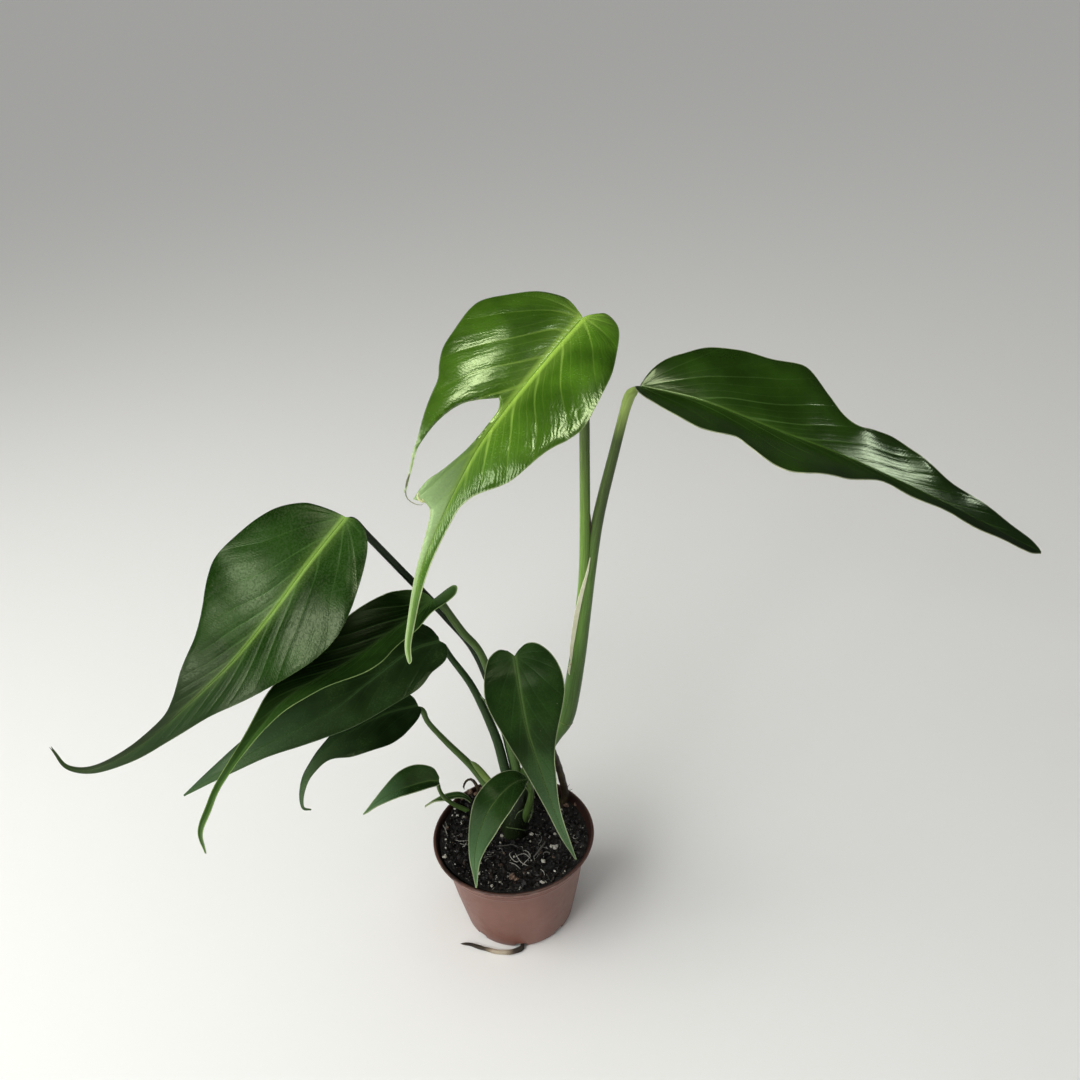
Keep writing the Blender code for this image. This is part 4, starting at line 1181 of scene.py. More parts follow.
# Painted shade darkens this leaf's right half, and painted light brightens its basal lobe.
SHADE_SKIN = LeafSkin(
    "shade_leaf", deep="#1c3210", light="#30501c", rib="#46642f", vein="#4a6a34", edge="#8aa45f",
    tail="#3a5824", tail_right="#2c461b", under="#3f5a30", roughness=0.22, rib_end=0.3,
    stipple=0.25, wrinkle=0.2, ripple=0.2, rim=0.8, rim_end=0.8, gloss=0.05, painted_shade_right=0.28,
    pale_and_lit_base=0.75)
DUSK_SKIN = LeafSkin(
    "dusk_leaf", deep="#17270f", light="#2b421f", rib="#3f5a30", vein="#2f4826", edge="#52683f",
    tail="#455c3b", tail_right="#40573a", under="#3f5a30", roughness=0.24, veining=0.45,
    rib_end=0.5, stipple=0.25, wrinkle=0.2, ripple=0.2, rim=0.35, gloss=0.25)
SMALL_SKIN = LeafSkin(
    "small_leaf", deep="#172a0e", light="#263f18", rib="#42592c", vein="#314d27", edge="#b0bd90",
    tail="#54724c", tail_right="#54724c", under="#47633a", roughness=0.25, veining=0.35,
    rib_end=0.3, crossings=90.0, stipple=0.3, wrinkle=0.3, ripple=0.25, rim=0.75, rim_end=0.9,
    gloss=0.13)


class Tone(Enum):
    """Colours of a stalk from its foot to its top, each with its share of the run."""

    # FRESH darkens towards the top under a painted shadow of the leaf above.
    FRESH = ((0.0, "#5f8238"), (0.45, "#6a8a3c"), (0.75, "#4d5c33"), (1.0, "#535f36"))
    # SPLIT is almost black at its foot: painted shade under the lower leaves.
    SPLIT = ((0.14, "#141d0c"), (0.27, "#507034"), (0.62, "#5f823a"), (0.76, "#47592d"),
             (0.90, "#4c5f30"), (0.955, "#a0b863"))
    DARK = ((0.0, "#2a4020"), (0.5, "#283e1c"), (1.0, "#304a22"))
    OLIVE = ((0.0, "#435e2c"), (0.5, "#48602f"), (1.0, "#516a36"))
    # SHADED darkens a whole petiole as painted shade.
    SHADED = ((0.0, "#20351a"), (0.5, "#12200a"), (1.0, "#1e3016"))
    PALE = ((0.0, "#566b34"), (0.5, "#6a8040"), (1.0, "#7a8f4c"))


@dataclass(frozen=True)
class StalkSkin:
    """Smooth green rind with fine lengthwise fibres, as on any petiole."""

    tone: Tone

    def build(self) -> Material:
        """Build the material; the maps give the run along and the turn around the stalk."""
        paint = Paint("rind_" + self.tone.name.lower())
        along, share = paint.from_map("run", 0), paint.from_map("run", 1)
        across, other = paint.from_map("turn", 0), paint.from_map("turn", 1)
        # Fibres are drawn 0.6 mm wide and 12 mm long so that they show; flecks are about
        # 1 mm across.
        slow = paint.product(along, 0.05)
        fibre = paint.noise(1.5, 3.0, paint.add("CombineXYZ", {0: slow, 1: across, 2: other}))
        fleck = paint.noise(1.1, 4.0, paint.add("CombineXYZ", {0: along, 1: across, 2: other}))
        green = paint.colours(share, self.tone.value)
        green = paint.scale(green, paint.ramp(fibre, 0.3, 0.7, 0.78, 1.22))
        # Painted light and shade: the rind is lighter on the side towards the light and darker on
        # the side away from it.
        green = paint.scale(green, paint.ramp(other, -3.5, 3.5, 1.35, 0.65))
        colour = paint.mix(paint.ramp(fleck, 0.60, 0.72, 0.0, 0.22), green, "#8d9c68")
        return paint.finish({
            "Base Color": colour, "Roughness": paint.ramp(fleck, 0.3, 0.7, 0.30, 0.42),
            "Normal": paint.bump(fibre, 0.6, 0.00015), "IOR": 1.40, "Specular IOR Level": 0.3})


@dataclass(frozen=True)
class Blend:
    """A plain natural surface: two or three colours mixed by noise, with some relief.

    Attributes:
        name: The material's name.
        stops: Colours of the mix.
        scale: Noise waves for each metre.
        roughness: Roughness of the surface.
        relief: Height of the relief in metres.
        tinted: Whether the "tint" map of each bit shifts its colour.
    """

    name: str
    stops: Stops
    scale: float
    roughness: float
    relief: float
    tinted: bool = False

    def build(self) -> Material:
        """Build the material."""
        paint = Paint(self.name)
        wave = paint.noise(self.scale, 5.0, rough=0.65)
        where = wave
        if self.tinted:
            where = paint.calc("MULTIPLY_ADD", wave, 0.35, paint.from_map("tint", 0))
        return paint.finish({
            "Base Color": paint.colours(where, self.stops), "Roughness": self.roughness,
            "Normal": paint.bump(wave, 0.9, self.relief), "IOR": 1.45})


PEAT = Blend("damp_peat", ((0.25, "#050404"), (0.55, "#0c0a09"), (0.85, "#1c1613")),
             700.0, 0.65, 0.0008)
CRUMB = Blend("peat_crumb", ((0.15, "#070606"), (0.62, "#14100e"), (0.90, "#2c241d"),
                             (1.0, "#5e4c3c")), 900.0, 0.42, 0.0004, tinted=True)
PERLITE = Blend("perlite", ((0.15, "#6f6c60"), (0.45, "#a9a698"), (0.9, "#dedcd0")),
                1200.0, 0.8, 0.0004, tinted=True)
CLOD = Blend("brown_clod", ((0.25, "#2e221b"), (0.50, "#5f4a3c"), (0.75, "#a08b76")),
             900.0, 0.8, 0.0005)
FIBRE = Blend("root_fibre", ((0.15, "#23201d"), (0.5, "#67645c"), (0.9, "#b9b7ac")),
              500.0, 0.55, 0.0001, tinted=True)
ROOT_BARK = Blend("aerial_root_bark", ((0.30, "#1f1811"), (0.50, "#33291a"), (0.72, "#4c4528")),
                  260.0, 0.6, 0.0003)
DRAIN_BARK = Blend("drain_root_bark", ((0.20, "#171310"), (0.45, "#3f362b"), (0.75, "#857863"),
                                       (1.0, "#b0a38d")), 420.0, 0.75, 0.0003, tinted=True)
SHEATH_EDGE = Blend("dry_sheath", ((0.26, "#b89c74"), (0.34, "#e4e2bd"), (0.7, "#f3f4d6"),
                                   (0.9, "#f8f9e6")), 260.0, 0.5, 0.0001)
LOBE_THREAD = Blend("dry_lobe_thread", ((0.30, "#55583c"), (0.55, "#7c8058"),
                                        (0.80, "#b3b583")), 500.0, 0.5, 0.0001)
LOBE_CURL = Blend("pale_lobe_curl", ((0.30, "#8ea35a"), (0.50, "#cdcf93"),
                                     (0.80, "#e6e4b8")), 700.0, 0.4, 0.0001)
SCALE_EDGE = Blend("green_scale", ((0.30, "#34452a"), (0.50, "#5d7044"), (0.70, "#84946a")),
                   420.0, 0.5, 0.0001)


@dataclass(frozen=True)
class PotPlastic:
    """Thin polypropylene, injection moulded: satin, faintly streaked and dusty.

    Attributes:
        base: The plastic's colour.
        light: Its lighter streaks.
        dark: Its darker streaks.
        dirt: Dried soil.
        highlight_and_scuff: Painted highlight along the lip's outer edge, broken up by pale
            scuffs.
        shade_brown: Brown of the painted shade inside the wall, also laid on the lip's crest.
        smudge: Middle of the dirtiest place of the rim, in metres.
    """

    base: str = "#754a3d"
    light: str = "#7e5446"
    dark: str = "#6c4438"
    dirt: str = "#241a16"
    highlight_and_scuff: str = "#a88274"
    shade_brown: str = "#221713"
    smudge: tuple[float, float, float] = (-0.0346, -0.0283, 0.0570)

    def build(self) -> Material:
        """Build the material with soil smears near the rim."""
        paint = Paint("moulded_polypropylene")
        place = paint.place()
        height = paint.add("SeparateXYZ", {0: place}, output=2)
        level = paint.add("VectorMath", {0: place, 1: (1.0, 1.0, 0.0)}, output=0,
                          operation="MULTIPLY")
        radius = paint.add("VectorMath", {0: level}, output=1, operation="LENGTH")
        # Flow streaks of the moulding run up the wall, about 6 mm apart.
        drawn = paint.add("Mapping", {"Vector": place, "Scale": (1.0, 1.0, 0.12)})
        streak = paint.noise(170.0, 3.0, drawn)
        mixed = paint.calc("MULTIPLY_ADD", streak, 0.35, paint.noise(45.0, 4.0))
        colour = paint.colours(mixed, ((0.40, self.dark), (0.66, self.base), (0.92, self.light)))
        # Smears of soil of a few millimetres gather at the rim.
        smear = paint.noise(230.0, 6.0, rough=0.7)
        away = paint.add("VectorMath", {0: place, 1: self.smudge}, output="Value",
                         operation="DISTANCE")
        high = paint.calc("ADD", paint.ramp(height, 0.050, 0.0585, 0.0, 0.16),
                          paint.ramp(away, 0.002, 0.010, 0.36, 0.0))
        dirty = paint.ramp(paint.calc("ADD", smear, high), 0.66, 0.80, 0.0, 0.75)
        colour = paint.mix(dirty, colour, self.dirt)
        # Painted highlight along the lip's outer edge, broken up into pale scuffs in places.
        highlight_scuff = paint.product(paint.ramp(height, 0.0560, 0.0564),
                              paint.ramp(radius, 0.0441, 0.0444),
                              paint.ramp(smear, 0.44, 0.60, 0.0, 0.7))
        colour = paint.mix(highlight_scuff, colour, self.highlight_and_scuff)
        # Painted shade darkens the inside of the wall above the soil, and the lip's crest is
        # darkened with the same brown.
        # The wall leans out 0.41 mm for each millimetre, which tells inside from outside.
        lean = paint.calc("MULTIPLY_ADD", height, -0.41, radius)
        inside = paint.product(paint.ramp(lean, 0.0194, 0.0201, 1.0, 0.0),
                               paint.ramp(height, 0.0485, 0.0500, 0.0, 0.92))
        crest = paint.ramp(height, 0.0568, 0.0574, 0.0, 0.65)
        colour = paint.mix(paint.calc("MAXIMUM", inside, crest), colour, self.shade_brown)
        # The mould's grain is about half a millimetre.
        return paint.finish({
            "Base Color": colour, "Roughness": paint.ramp(smear, 0.3, 0.7, 0.34, 0.48),
            "Normal": paint.bump(paint.noise(1800.0, 2.0), 0.35, 0.0001), "IOR": 1.49})


# Stems and roots

TRUNK = Stalk("main_stem", (
    (0, 4.5, 41, 7.0), (0.2, 4.5, 52, 7.2), (1.7, 5, 62, 6.9), (4.3, 7, 75, 6.0),
    (8.3, 9, 86, 5.2), (14, 11, 96.5, 4.7), (25.3, 14, 113, 4.4), (32, 15, 123, 4.7),
    (36.2, 15.5, 138.5, 4.5), (41.6, 16, 169, 4.1), (48, 15, 213.5, 3.4), (53.6, 13.5, 246.5, 2.8),
    (61.4, 11, 280, 2.4), (67.6, 8, 306, 2.2), (70.4, 6.6, 311.4, 2.0), (72.2, 5.4, 313.4, 1.6)),
    sides=36, knee=14.0)
PETIOLES = (
    (Stalk("petiole_1", (
        (39.5, 15, 165, 2.5), (43.4, 14.5, 195, 2.6), (45.5, 13.5, 214, 2.6), (47, 12.7, 245, 2.5),
        (48.4, 12, 292, 2.4), (49.2, 10.6, 323, 2.3), (49.1, 8, 340, 2.0), (49, 6.3, 345.4, 1.6)),
        groove=0.10, knee=14.0),
     Tone.FRESH),
    (Stalk("petiole_3", (
        (5, 9, 80, 2.6), (2, 15, 101, 2.6), (-2, 18, 126, 2.5), (-11.5, 21, 164.5, 2.1),
        (-25.3, 22, 189, 2.0), (-44.7, 17, 222.6, 1.9), (-55.5, 10.4, 244.4, 1.8),
        (-60.6, 7, 255, 1.7), (-63.3, 5.4, 258.6, 1.4)), groove=0.12, knee=12.0), Tone.SHADED),
    (Stalk("petiole_4", (
        (6, 9, 80, 2.6), (2.9, 13.5, 101.6, 2.5), (-0.5, 16, 124, 2.3), (-8.3, 17.5, 165, 2.0),
        (-17.5, 17.3, 182.5, 2.0), (-26, 15.6, 201, 1.9), (-29.3, 14.2, 204.2, 1.5)), groove=0.12,
        knee=10.0), Tone.OLIVE),
    (Stalk("petiole_5", (
        (2, 7, 74, 2.6), (-2, 12, 92.5, 2.7), (-6, 17, 113.5, 2.5), (-15.2, 20.5, 143, 2.0),
        (-24.5, 22, 161.5, 1.7), (-28.4, 22, 170, 1.6), (-29.8, 22, 173.4, 1.3)), groove=0.12,
        knee=9.0), Tone.DARK),
    (Stalk("petiole_6", (
        (0, 6, 66, 2.6), (-7, 9.5, 73, 2.9), (-20, 18, 90, 2.1), (-33, 21, 107, 1.7),
        (-41.5, 22, 120.5, 1.5), (-43.6, 22, 128.6, 1.5), (-45.4, 22, 132.4, 1.2)), groove=0.10,
        knee=8.0, swell=0.10), Tone.OLIVE),
    (Stalk("petiole_8", (
        (15, 10.5, 100, 2.4), (13.9, 6, 124.6, 2.2), (12, 1, 145.6, 2.0), (10.2, -2.8, 165, 1.8),
        (9.2, -5.4, 180.6, 1.4)), knee=7.0), Tone.DARK),
    (Stalk("petiole_9", (
        (4, 4, 58, 2.4), (8.4, 0.8, 72, 2.1), (11.4, -3, 86.5, 1.7), (11.5, -6, 96.5, 1.5),
        (10.3, -7.6, 102, 1.2)), knee=5.0), Tone.OLIVE),
)
SMALL_PETIOLE = Stalk("petiole_7", (
    (-21, 20, 50, 1.6), (-25, 20, 55.5, 1.5), (-33.4, 20, 62, 1.3), (-38.5, 20, 68, 1.2),
    (-40.6, 20, 74.5, 1.1), (-40.4, 20, 79.8, 1.0)), sides=20, knee=5.0)
AERIAL_ROOT = Stalk("root_at_rim", (
    (22, 14.6, 109, 1.7), (24.6, 19, 97, 1.9), (26.8, 22, 85.6, 1.9), (29, 24.2, 71, 2.0),
    (30, 24.8, 60, 2.1), (28.4, 23.2, 53, 2.1), (25.6, 21, 47, 2.0)), sides=20, knobs=0.10)
LOOP_ROOT = Stalk("root_in_loop", (
    (-19, 31, 50, 1.1), (-20.6, 35, 60, 1.0), (-23.4, 37, 64, 0.8), (-26.6, 37, 63.6, 0.7),
    (-28.4, 35.6, 61, 0.7), (-28.2, 34.2, 59.3, 0.7)), sides=14, knobs=0.14)
DRAIN_ROOT = Stalk("root_from_drain", (
    (0.2, -26.6, 1.8, 1.2), (0.8, -29, 1.7, 1.3), (0.4, -31.8, 1.6, 1.4), (-5, -33.8, 1.5, 1.4),
    (-12, -33.4, 1.4, 1.25), (-20, -30.6, 1.3, 1.1), (-29, -26.6, 1.1, 0.9),
    (-34, -25.8, 0.9, 0.5)), sides=18, knobs=0.16)


@dataclass(frozen=True)
class Wing:
    """A thin papery strip, such as the dry margin of a sheath.

    Attributes:
        name: The piece's name.
        path: Points (x, y, z, width) along the strip.
        across: The way its width runs.
        ragged: How uneven its free edge is, as a share of the width.
    """

    name: str
    path: Points
    across: tuple[float, float, float]
    ragged: float = 0.25

    def build(self) -> Item:
        """Model the strip from a grid."""
        item, where = new_grid(self.name, 60, 6)
        at = sample(smooth_line(self.path, 8), where[:, 0], 3)
        across = unit(np.array(self.across))
        rag = ripple_noise(where[:, 0] * 40.0, where[:, 0] * 17.0, len(self.name))
        reach = where[:, 1] * at[:, 3] * (1.0 + self.ragged * rag * where[:, 1])
        curl = 0.5 * self.ragged * np.sin(where[:, 0] * 25.0) * where[:, 1] ** 2
        toward = unit(np.cross(across, np.array((0.0, 0.0, 1.0))))
        points = at[:, :3] + across * reach[:, None] + toward * (curl * at[:, 3])[:, None]
        move_points(item, points)
        apply_modifier(item, "SOLIDIFY", thickness=0.35 * MM, offset=0.0)
        smooth(item, 60.0)
        return item


NODE_RING = Stalk("node_ring", (
    (31.5, 14.9, 122.3, 4.3), (31.9, 15, 122.9, 4.95), (32.1, 15, 123.5, 4.4)), sides=36)
SHEATH_BULGE = Stalk("sheath_bulge", (
    (-21.5, 18.6, 95.2, 0.5), (-18.2, 17.2, 92.2, 1.5), (-13.5, 14.2, 86.4, 2.0),
    (-8, 10.8, 80, 1.6)), sides=20)
SPLIT_SCAR = Stalk("split_scar", (
    (49.6, 12.0, 249, 0.15), (49.5, 11.8, 243.5, 0.35), (49.3, 12.0, 237, 0.15)), sides=8)
WINGS = (
    Wing("sheath_margin", (
        (48.9, 11.3, 225, 0.3), (47.6, 11.1, 217, 1.1), (46.2, 11.1, 211, 1.7),
        (44.6, 11.2, 204, 2.2), (42.9, 11.5, 196, 2.6), (41.6, 11.7, 189, 2.6),
        (40.0, 12.0, 180, 2.4), (38.6, 12.4, 172, 1.9), (37.8, 12.5, 166, 1.4),
        (37.2, 12.5, 163, 0.4)), (-0.93, -0.36, 0.0), 0.05),
    Wing("sheath_tatter", (
        (37.4, 12.5, 164, 0.4), (36.8, 12.6, 160, 1.2), (36.3, 12.7, 157, 1.1),
        (36.0, 12.8, 154, 0.3)), (-0.93, -0.36, 0.0), 0.30),
)
CROWN_WINGS = (
    Wing("crown_margin", (
        (7.6, 4.2, 89.5, 0.4), (8.4, 3.6, 87.5, 0.7), (10.4, 2.6, 83, 0.9), (11.4, 1.6, 77, 0.9),
        (10.6, 0.8, 70, 0.8), (8.4, 0.4, 64, 0.4)), (0.75, -0.66, 0.0)),
    Wing("crown_lip", (
        (9.4, 0.6, 73.0, 0.2), (7.4, -0.1, 74.4, 0.5), (5.0, -0.3, 73.6, 0.6),
        (3.0, -0.3, 71.6, 0.5), (1.4, -0.6, 68.0, 0.2)), (0.1, -0.75, 0.65)),
    Wing("foot_scale", (
        (-5, 3.0, 60.5, 0.2), (-3, -0.5, 62.0, 0.4), (0, -2.1, 62.6, 0.5), (3, -2.2, 61.8, 0.5),
        (6, -0.8, 59.4, 0.4), (8, 1.9, 57, 0.2)), (0.1, -0.4, 0.9), 0.2),
    Wing("ligule_5", (
        (-12.4, 18.8, 139.2, 0.3), (-11.0, 18.9, 137.0, 1.0), (-9.6, 18.8, 134.6, 1.1),
        (-8.0, 18.4, 130.5, 0.3)), (0.93, -0.1, 0.35)),
)
# Each hair's foot (x, y, z), then how far its tip lies to the right, back and up.
ROOT_HAIRS = ((30.6, 22.6, 62, 2.8, 0.4, 3.6), (31.4, 23.4, 61, 3.4, -0.6, 2.0),
              (31.2, 24.6, 60, 3.6, 0.6, 3.2), (31.8, 23.8, 59, 4.4, 0.2, 0.8),
              (30.2, 22.8, 59, 1.2, -2.2, 3.0), (31.0, 25.2, 62.5, 2.2, 1.0, 3.4),
              (29.0, 22.9, 61, -0.8, -2.2, 2.6), (31.8, 24.4, 57.5, 4.0, -1.2, 1.4))


@dataclass
class Stems:
    """The main stem with its petioles, the small loose petiole and the roots.

    Attributes:
        drain_marks: Shares of the run of the root in front of the pot.
        drain_tints: How pale its bark is at those shares.
    """

    drain_marks: tuple[float, ...] = (0.0, 0.22, 0.34, 0.52, 0.64, 0.90, 1.0)
    drain_tints: tuple[float, ...] = (0.05, 0.15, 0.75, 0.85, 0.25, 0.10, 0.45)

    def build(self) -> None:
        """Model, dress and seat every stalk and strip."""
        self.build_green(TRUNK, StalkSkin(Tone.SPLIT).build(), "stem")
        for wings, edge in ((WINGS, SHEATH_EDGE.build()), (CROWN_WINGS, SCALE_EDGE.build())):
            for wing in wings:
                self.build_green(wing, edge, "stem")
        pale = StalkSkin(Tone.PALE).build()
        self.build_green(NODE_RING, pale, "stem")
        self.build_green(SHEATH_BULGE, pale, "stem")
        self.build_green(SPLIT_SCAR, ROOT_BARK.build(), "stem")
        for stalk, tone in PETIOLES:
            self.build_green(stalk, StalkSkin(tone).build(), "stem")
        self.build_green(SMALL_PETIOLE, StalkSkin(Tone.OLIVE).build(), "stem_small")
        self.build_roots()

    @staticmethod
    def build_green(part: Stalk | Wing, finish: Material, node: str) -> None:
        """Model one part of the stems, dress it and seat it."""
        seat(part.build(), "stem_green", node, finish=finish)

    def build_roots(self) -> None:
        """Model, dress and seat the three roots."""
        aerial = join([AERIAL_ROOT.build(), *self.root_hairs()], AERIAL_ROOT.name)
        loop = LOOP_ROOT.build()
        drain = DRAIN_ROOT.build()
        share = read_map(drain, "run")[:, 1]
        tint = np.interp(share, self.drain_marks, self.drain_tints)
        write_map(drain, "tint", tint, share)
        for item, bark, node in ((aerial, ROOT_BARK, "root_aerial"),
                                 (loop, ROOT_BARK, "root_loop"),
                                 (drain, DRAIN_BARK, "root_drain")):
            seat(item, "root_brown", node, finish=bark.build())

    @staticmethod
    def root_hairs() -> list[Item]:
        """Model the fine hairs where the aerial root meets the soil."""
        hairs = []
        for k, (x, y, z, right, back, rise) in enumerate(ROOT_HAIRS):
            path = ((x, y, z, 0.16), (x + right * 0.5, y + back * 0.5, z + rise * 0.7, 0.13),
                    (x + right, y + back, z + rise, 0.07))
            hairs.append(Stalk(f"hair_{k}", path, sides=6).build())
        return hairs


# The scale leaf's line with half its width at each point.
SCALE_LEAF = ((-22, 25, 51, 0.9), (-25, 25, 60, 1.2), (-30, 25, 64, 1.9), (-38, 25, 63, 2.2),
              (-45, 26, 60, 0.9), (-51, 27, 55, 0.5))


@dataclass
class Leaves:
    """All nine leaves and the tiny scale leaf at the rim."""

    skins: tuple[LeafSkin, ...] = (YOUNG_SKIN, GLOSSY_SKIN, SATIN_SKIN, SHADE_SKIN, DUSK_SKIN,
                                   DUSK_SKIN, SMALL_SKIN, SMALL_SKIN, SMALL_SKIN)
    slots: tuple[str, ...] = ("leaf_young", "leaf_mid", "leaf_deep", "leaf_deep", "leaf_deep",
                              "leaf_deep", "leaf_mid", "leaf_mid", "leaf_deep")

    def build(self) -> None:
        """Model, dress and seat every leaf."""
        made = {}
        for form, skin, slot in zip(LEAF_FORMS, self.skins, self.slots):
            if skin.name not in made:
                made[skin.name] = (skin.upper(), skin.lower(), skin.margin())
            item = LeafPiece(form).build(made[skin.name])
            seat(item, slot, f"leaf_{form.number}")
        self.build_scale_leaf(made[SMALL_SKIN.name][0])

    @staticmethod
    def build_scale_leaf(finish: Material) -> None:
        """Model the narrow scale leaf that leans over the pot's left rim."""
        item, where = new_grid("scale_leaf", 60, 12)
        at = sample(smooth_line(SCALE_LEAF, 10), where[:, 0], 3)
        signed = where[:, 1] * 2.0 - 1.0
        share = np.abs(signed)
        across = unit(np.array((0.15, 0.90, 0.40)))
        normal = unit(np.array((-0.25, -0.40, 0.88)))
        points = at[:, :3] + across * (signed * at[:, 3])[:, None]
        points = points + normal * (share ** 1.5 * 0.5)[:, None]
        move_points(item, points)
        write_map(item, "veins", signed * 3.0 + 4.0, where[:, 0])
        write_map(item, "reach", share * at[:, 3] / 0.3, (1.0 - share) * at[:, 3])
        apply_modifier(item, "SOLIDIFY", thickness=0.6 * MM, offset=0.0)
        smooth(item, 50.0)
        seat(item, "leaf_mid", "leaf_tiny", finish=finish)


@dataclass
class Pot:
    """A thin nursery pot turned up from its foot, with drain notches.

    Attributes:
        height: Height of the rim.
        rim: Outer radius of the lip.
        base: Outer radius of the foot.
        middle: Outer radius nearly halfway up.
        middle_height: Height of that place.
        body_top: Outer radius below the collar.
        collar: Outer radius of the collar's foot.
        collar_height: Height of the collar with its lip.
        wall: Thickness of the wall.
        floor: Thickness of the floor.
        notches: Number of drain notches.
        notch_width: Width of a notch.
        notch_height: Height of a notch.
        segments: Faces around it.
    """

    height: float = 58.0
    rim: float = 44.6
    base: float = 30.6
    middle: float = 35.0
    middle_height: float = 24.0
    body_top: float = 38.8
    collar: float = 40.2
    collar_height: float = 11.0
    wall: float = 1.2
    floor: float = 1.6
    notches: int = 8
    notch_width: float = 6.6
    notch_height: float = 4.0
    segments: int = 160

    def profile(self) -> list[tuple[float, float]]:
        """Give (radius, height) rings from the foot over the rim to the inner floor."""
        waist = self.height - self.collar_height
        top = self.height
        return [
            (self.base - 2.8, 0.0), (self.base - 1.9, 0.12), (self.base - 1.0, 0.7),
            (self.base - 0.45, 1.5), (self.base, 2.6), (self.base + 0.9, 7.0),
            (self.base + 2.2, 13.0), (self.middle, self.middle_height),
            (self.middle + 1.6, 33.0), (self.body_top - 0.2, waist - 2.0),
            (self.body_top, waist - 0.9), (self.body_top + 0.35, waist - 0.45),
            (self.collar - 0.5, waist - 0.05), (self.collar - 0.1, waist + 0.4),
            (self.collar, waist + 1.0), (self.collar + 0.5, waist + 2.5),
            (self.collar + 0.62, waist + 2.7), (self.collar + 0.56, waist + 3.0),
            (self.collar + 1.1, waist + 4.6), (self.collar + 1.22, waist + 4.8),
            (self.collar + 1.16, waist + 5.1), (self.rim - 1.7, top - 2.6),
            (self.rim - 1.2, top - 2.2), (self.rim - 0.5, top - 2.0), (self.rim - 0.1, top - 1.5),
            (self.rim, top - 1.0), (self.rim - 0.12, top - 0.5), (self.rim - 0.5, top - 0.12),
            (self.rim - 1.0, top), (self.rim - 1.6, top - 0.15), (self.rim - 2.0, top - 0.6),
            (self.rim - 2.4, top - 1.8), (self.rim - 2.9, top - 3.6),
            (self.collar - self.wall, waist + 1.4), (self.body_top - self.wall, waist - 1.6),
            (self.middle - self.wall, self.middle_height),
            (self.base - self.wall, self.floor + 1.1),
            (self.base - self.wall - 1.2, self.floor)]

    def build(self) -> None:
        """Extrude the rings, cut the notches and dress the pot."""
        rings = self.profile()
        deselect()
        bpy.ops.mesh.primitive_circle_add(vertices=self.segments, radius=rings[0][0] * MM,
                                          fill_type="NGON")
        item = bpy.context.active_object
        item.name = item.data.name = "nursery_pot"
        bpy.ops.object.mode_set(mode="EDIT")
        bpy.ops.mesh.select_mode(type="EDGE")
        bpy.ops.mesh.select_all(action="SELECT")
        for (before, low), (radius, high) in zip(rings, rings[1:]):
            bpy.ops.mesh.extrude_edges_move(
                TRANSFORM_OT_translate={"value": (0.0, 0.0, (high - low) * MM)})
            scale = radius / before
            bpy.ops.transform.resize(value=(scale, scale, 1.0))
        bpy.ops.mesh.edge_face_add()
        bpy.ops.mesh.select_all(action="SELECT")
        bpy.ops.mesh.normals_make_consistent(inside=False)
        bpy.ops.object.mode_set(mode="OBJECT")
        for k in range(self.notches):
            self.cut_notch(item, 360.0 * k / self.notches - 90.0)
        smooth(item, 32.0)
        seat(item, "pot_plastic", "pot", finish=PotPlastic().build())

    def cut_notch(self, item: Item, angle: float) -> None:
        """Cut one drain notch with a rounded box at an angle in degrees."""
        deselect()
        bpy.ops.mesh.primitive_cube_add(size=1.0)
        cutter = bpy.context.active_object
        low = Vector((self.base - 6.0, -self.notch_width / 2, -2.0))
        high = Vector((self.base + 3.0, self.notch_width / 2, self.notch_height))
        place = Matrix.Rotation(math.radians(angle), 4, "Z")
        place = place @ Matrix.Translation((low + high) / 2 * MM)
        cutter.data.transform(place @ Matrix.Diagonal((*((high - low) * MM), 1.0)))
        apply_modifier(cutter, "BEVEL", width=0.9 * MM, segments=4)
        apply_modifier(item, "BOOLEAN", operation="DIFFERENCE", solver="EXACT", object=cutter)
        bpy.data.objects.remove(cutter, do_unlink=True)


def clipped(value: float) -> float:
    """Keep a value between 0 and 1."""
    return min(1.0, max(0.0, value))


def random_turn(rand: random.Random) -> Matrix:
    """Draw a turn about all three axes."""
    return Euler([rand.uniform(0, math.tau) for _ in range(3)]).to_matrix().to_4x4()


def soil_level(x: float, y: float) -> float:
    """Height of the soil: nearly level, with a mound at the back left."""
    mound = 4.2 * math.exp(-((x + 24.0) ** 2 + (y - 27.0) ** 2) / 120.0)
    heaped = clipped((math.hypot(x, y) - 33.0) / 6.0)
    return 54.0 - 0.032 * x - 0.015 * y + mound + heaped


def soil_surface(x: float, y: float) -> float:
    """Height of the crumbly surface, with clumps of about 5 mm and crumbs of 1 mm."""
    spot = Vector((x, y, 0.0))
    rough = 1.3 * noise.fractal(spot * 0.22, 0.9, 2.1, 5) + 0.9 * noise.noise(spot * 0.75)
    return soil_level(x, y) + rough - 0.4


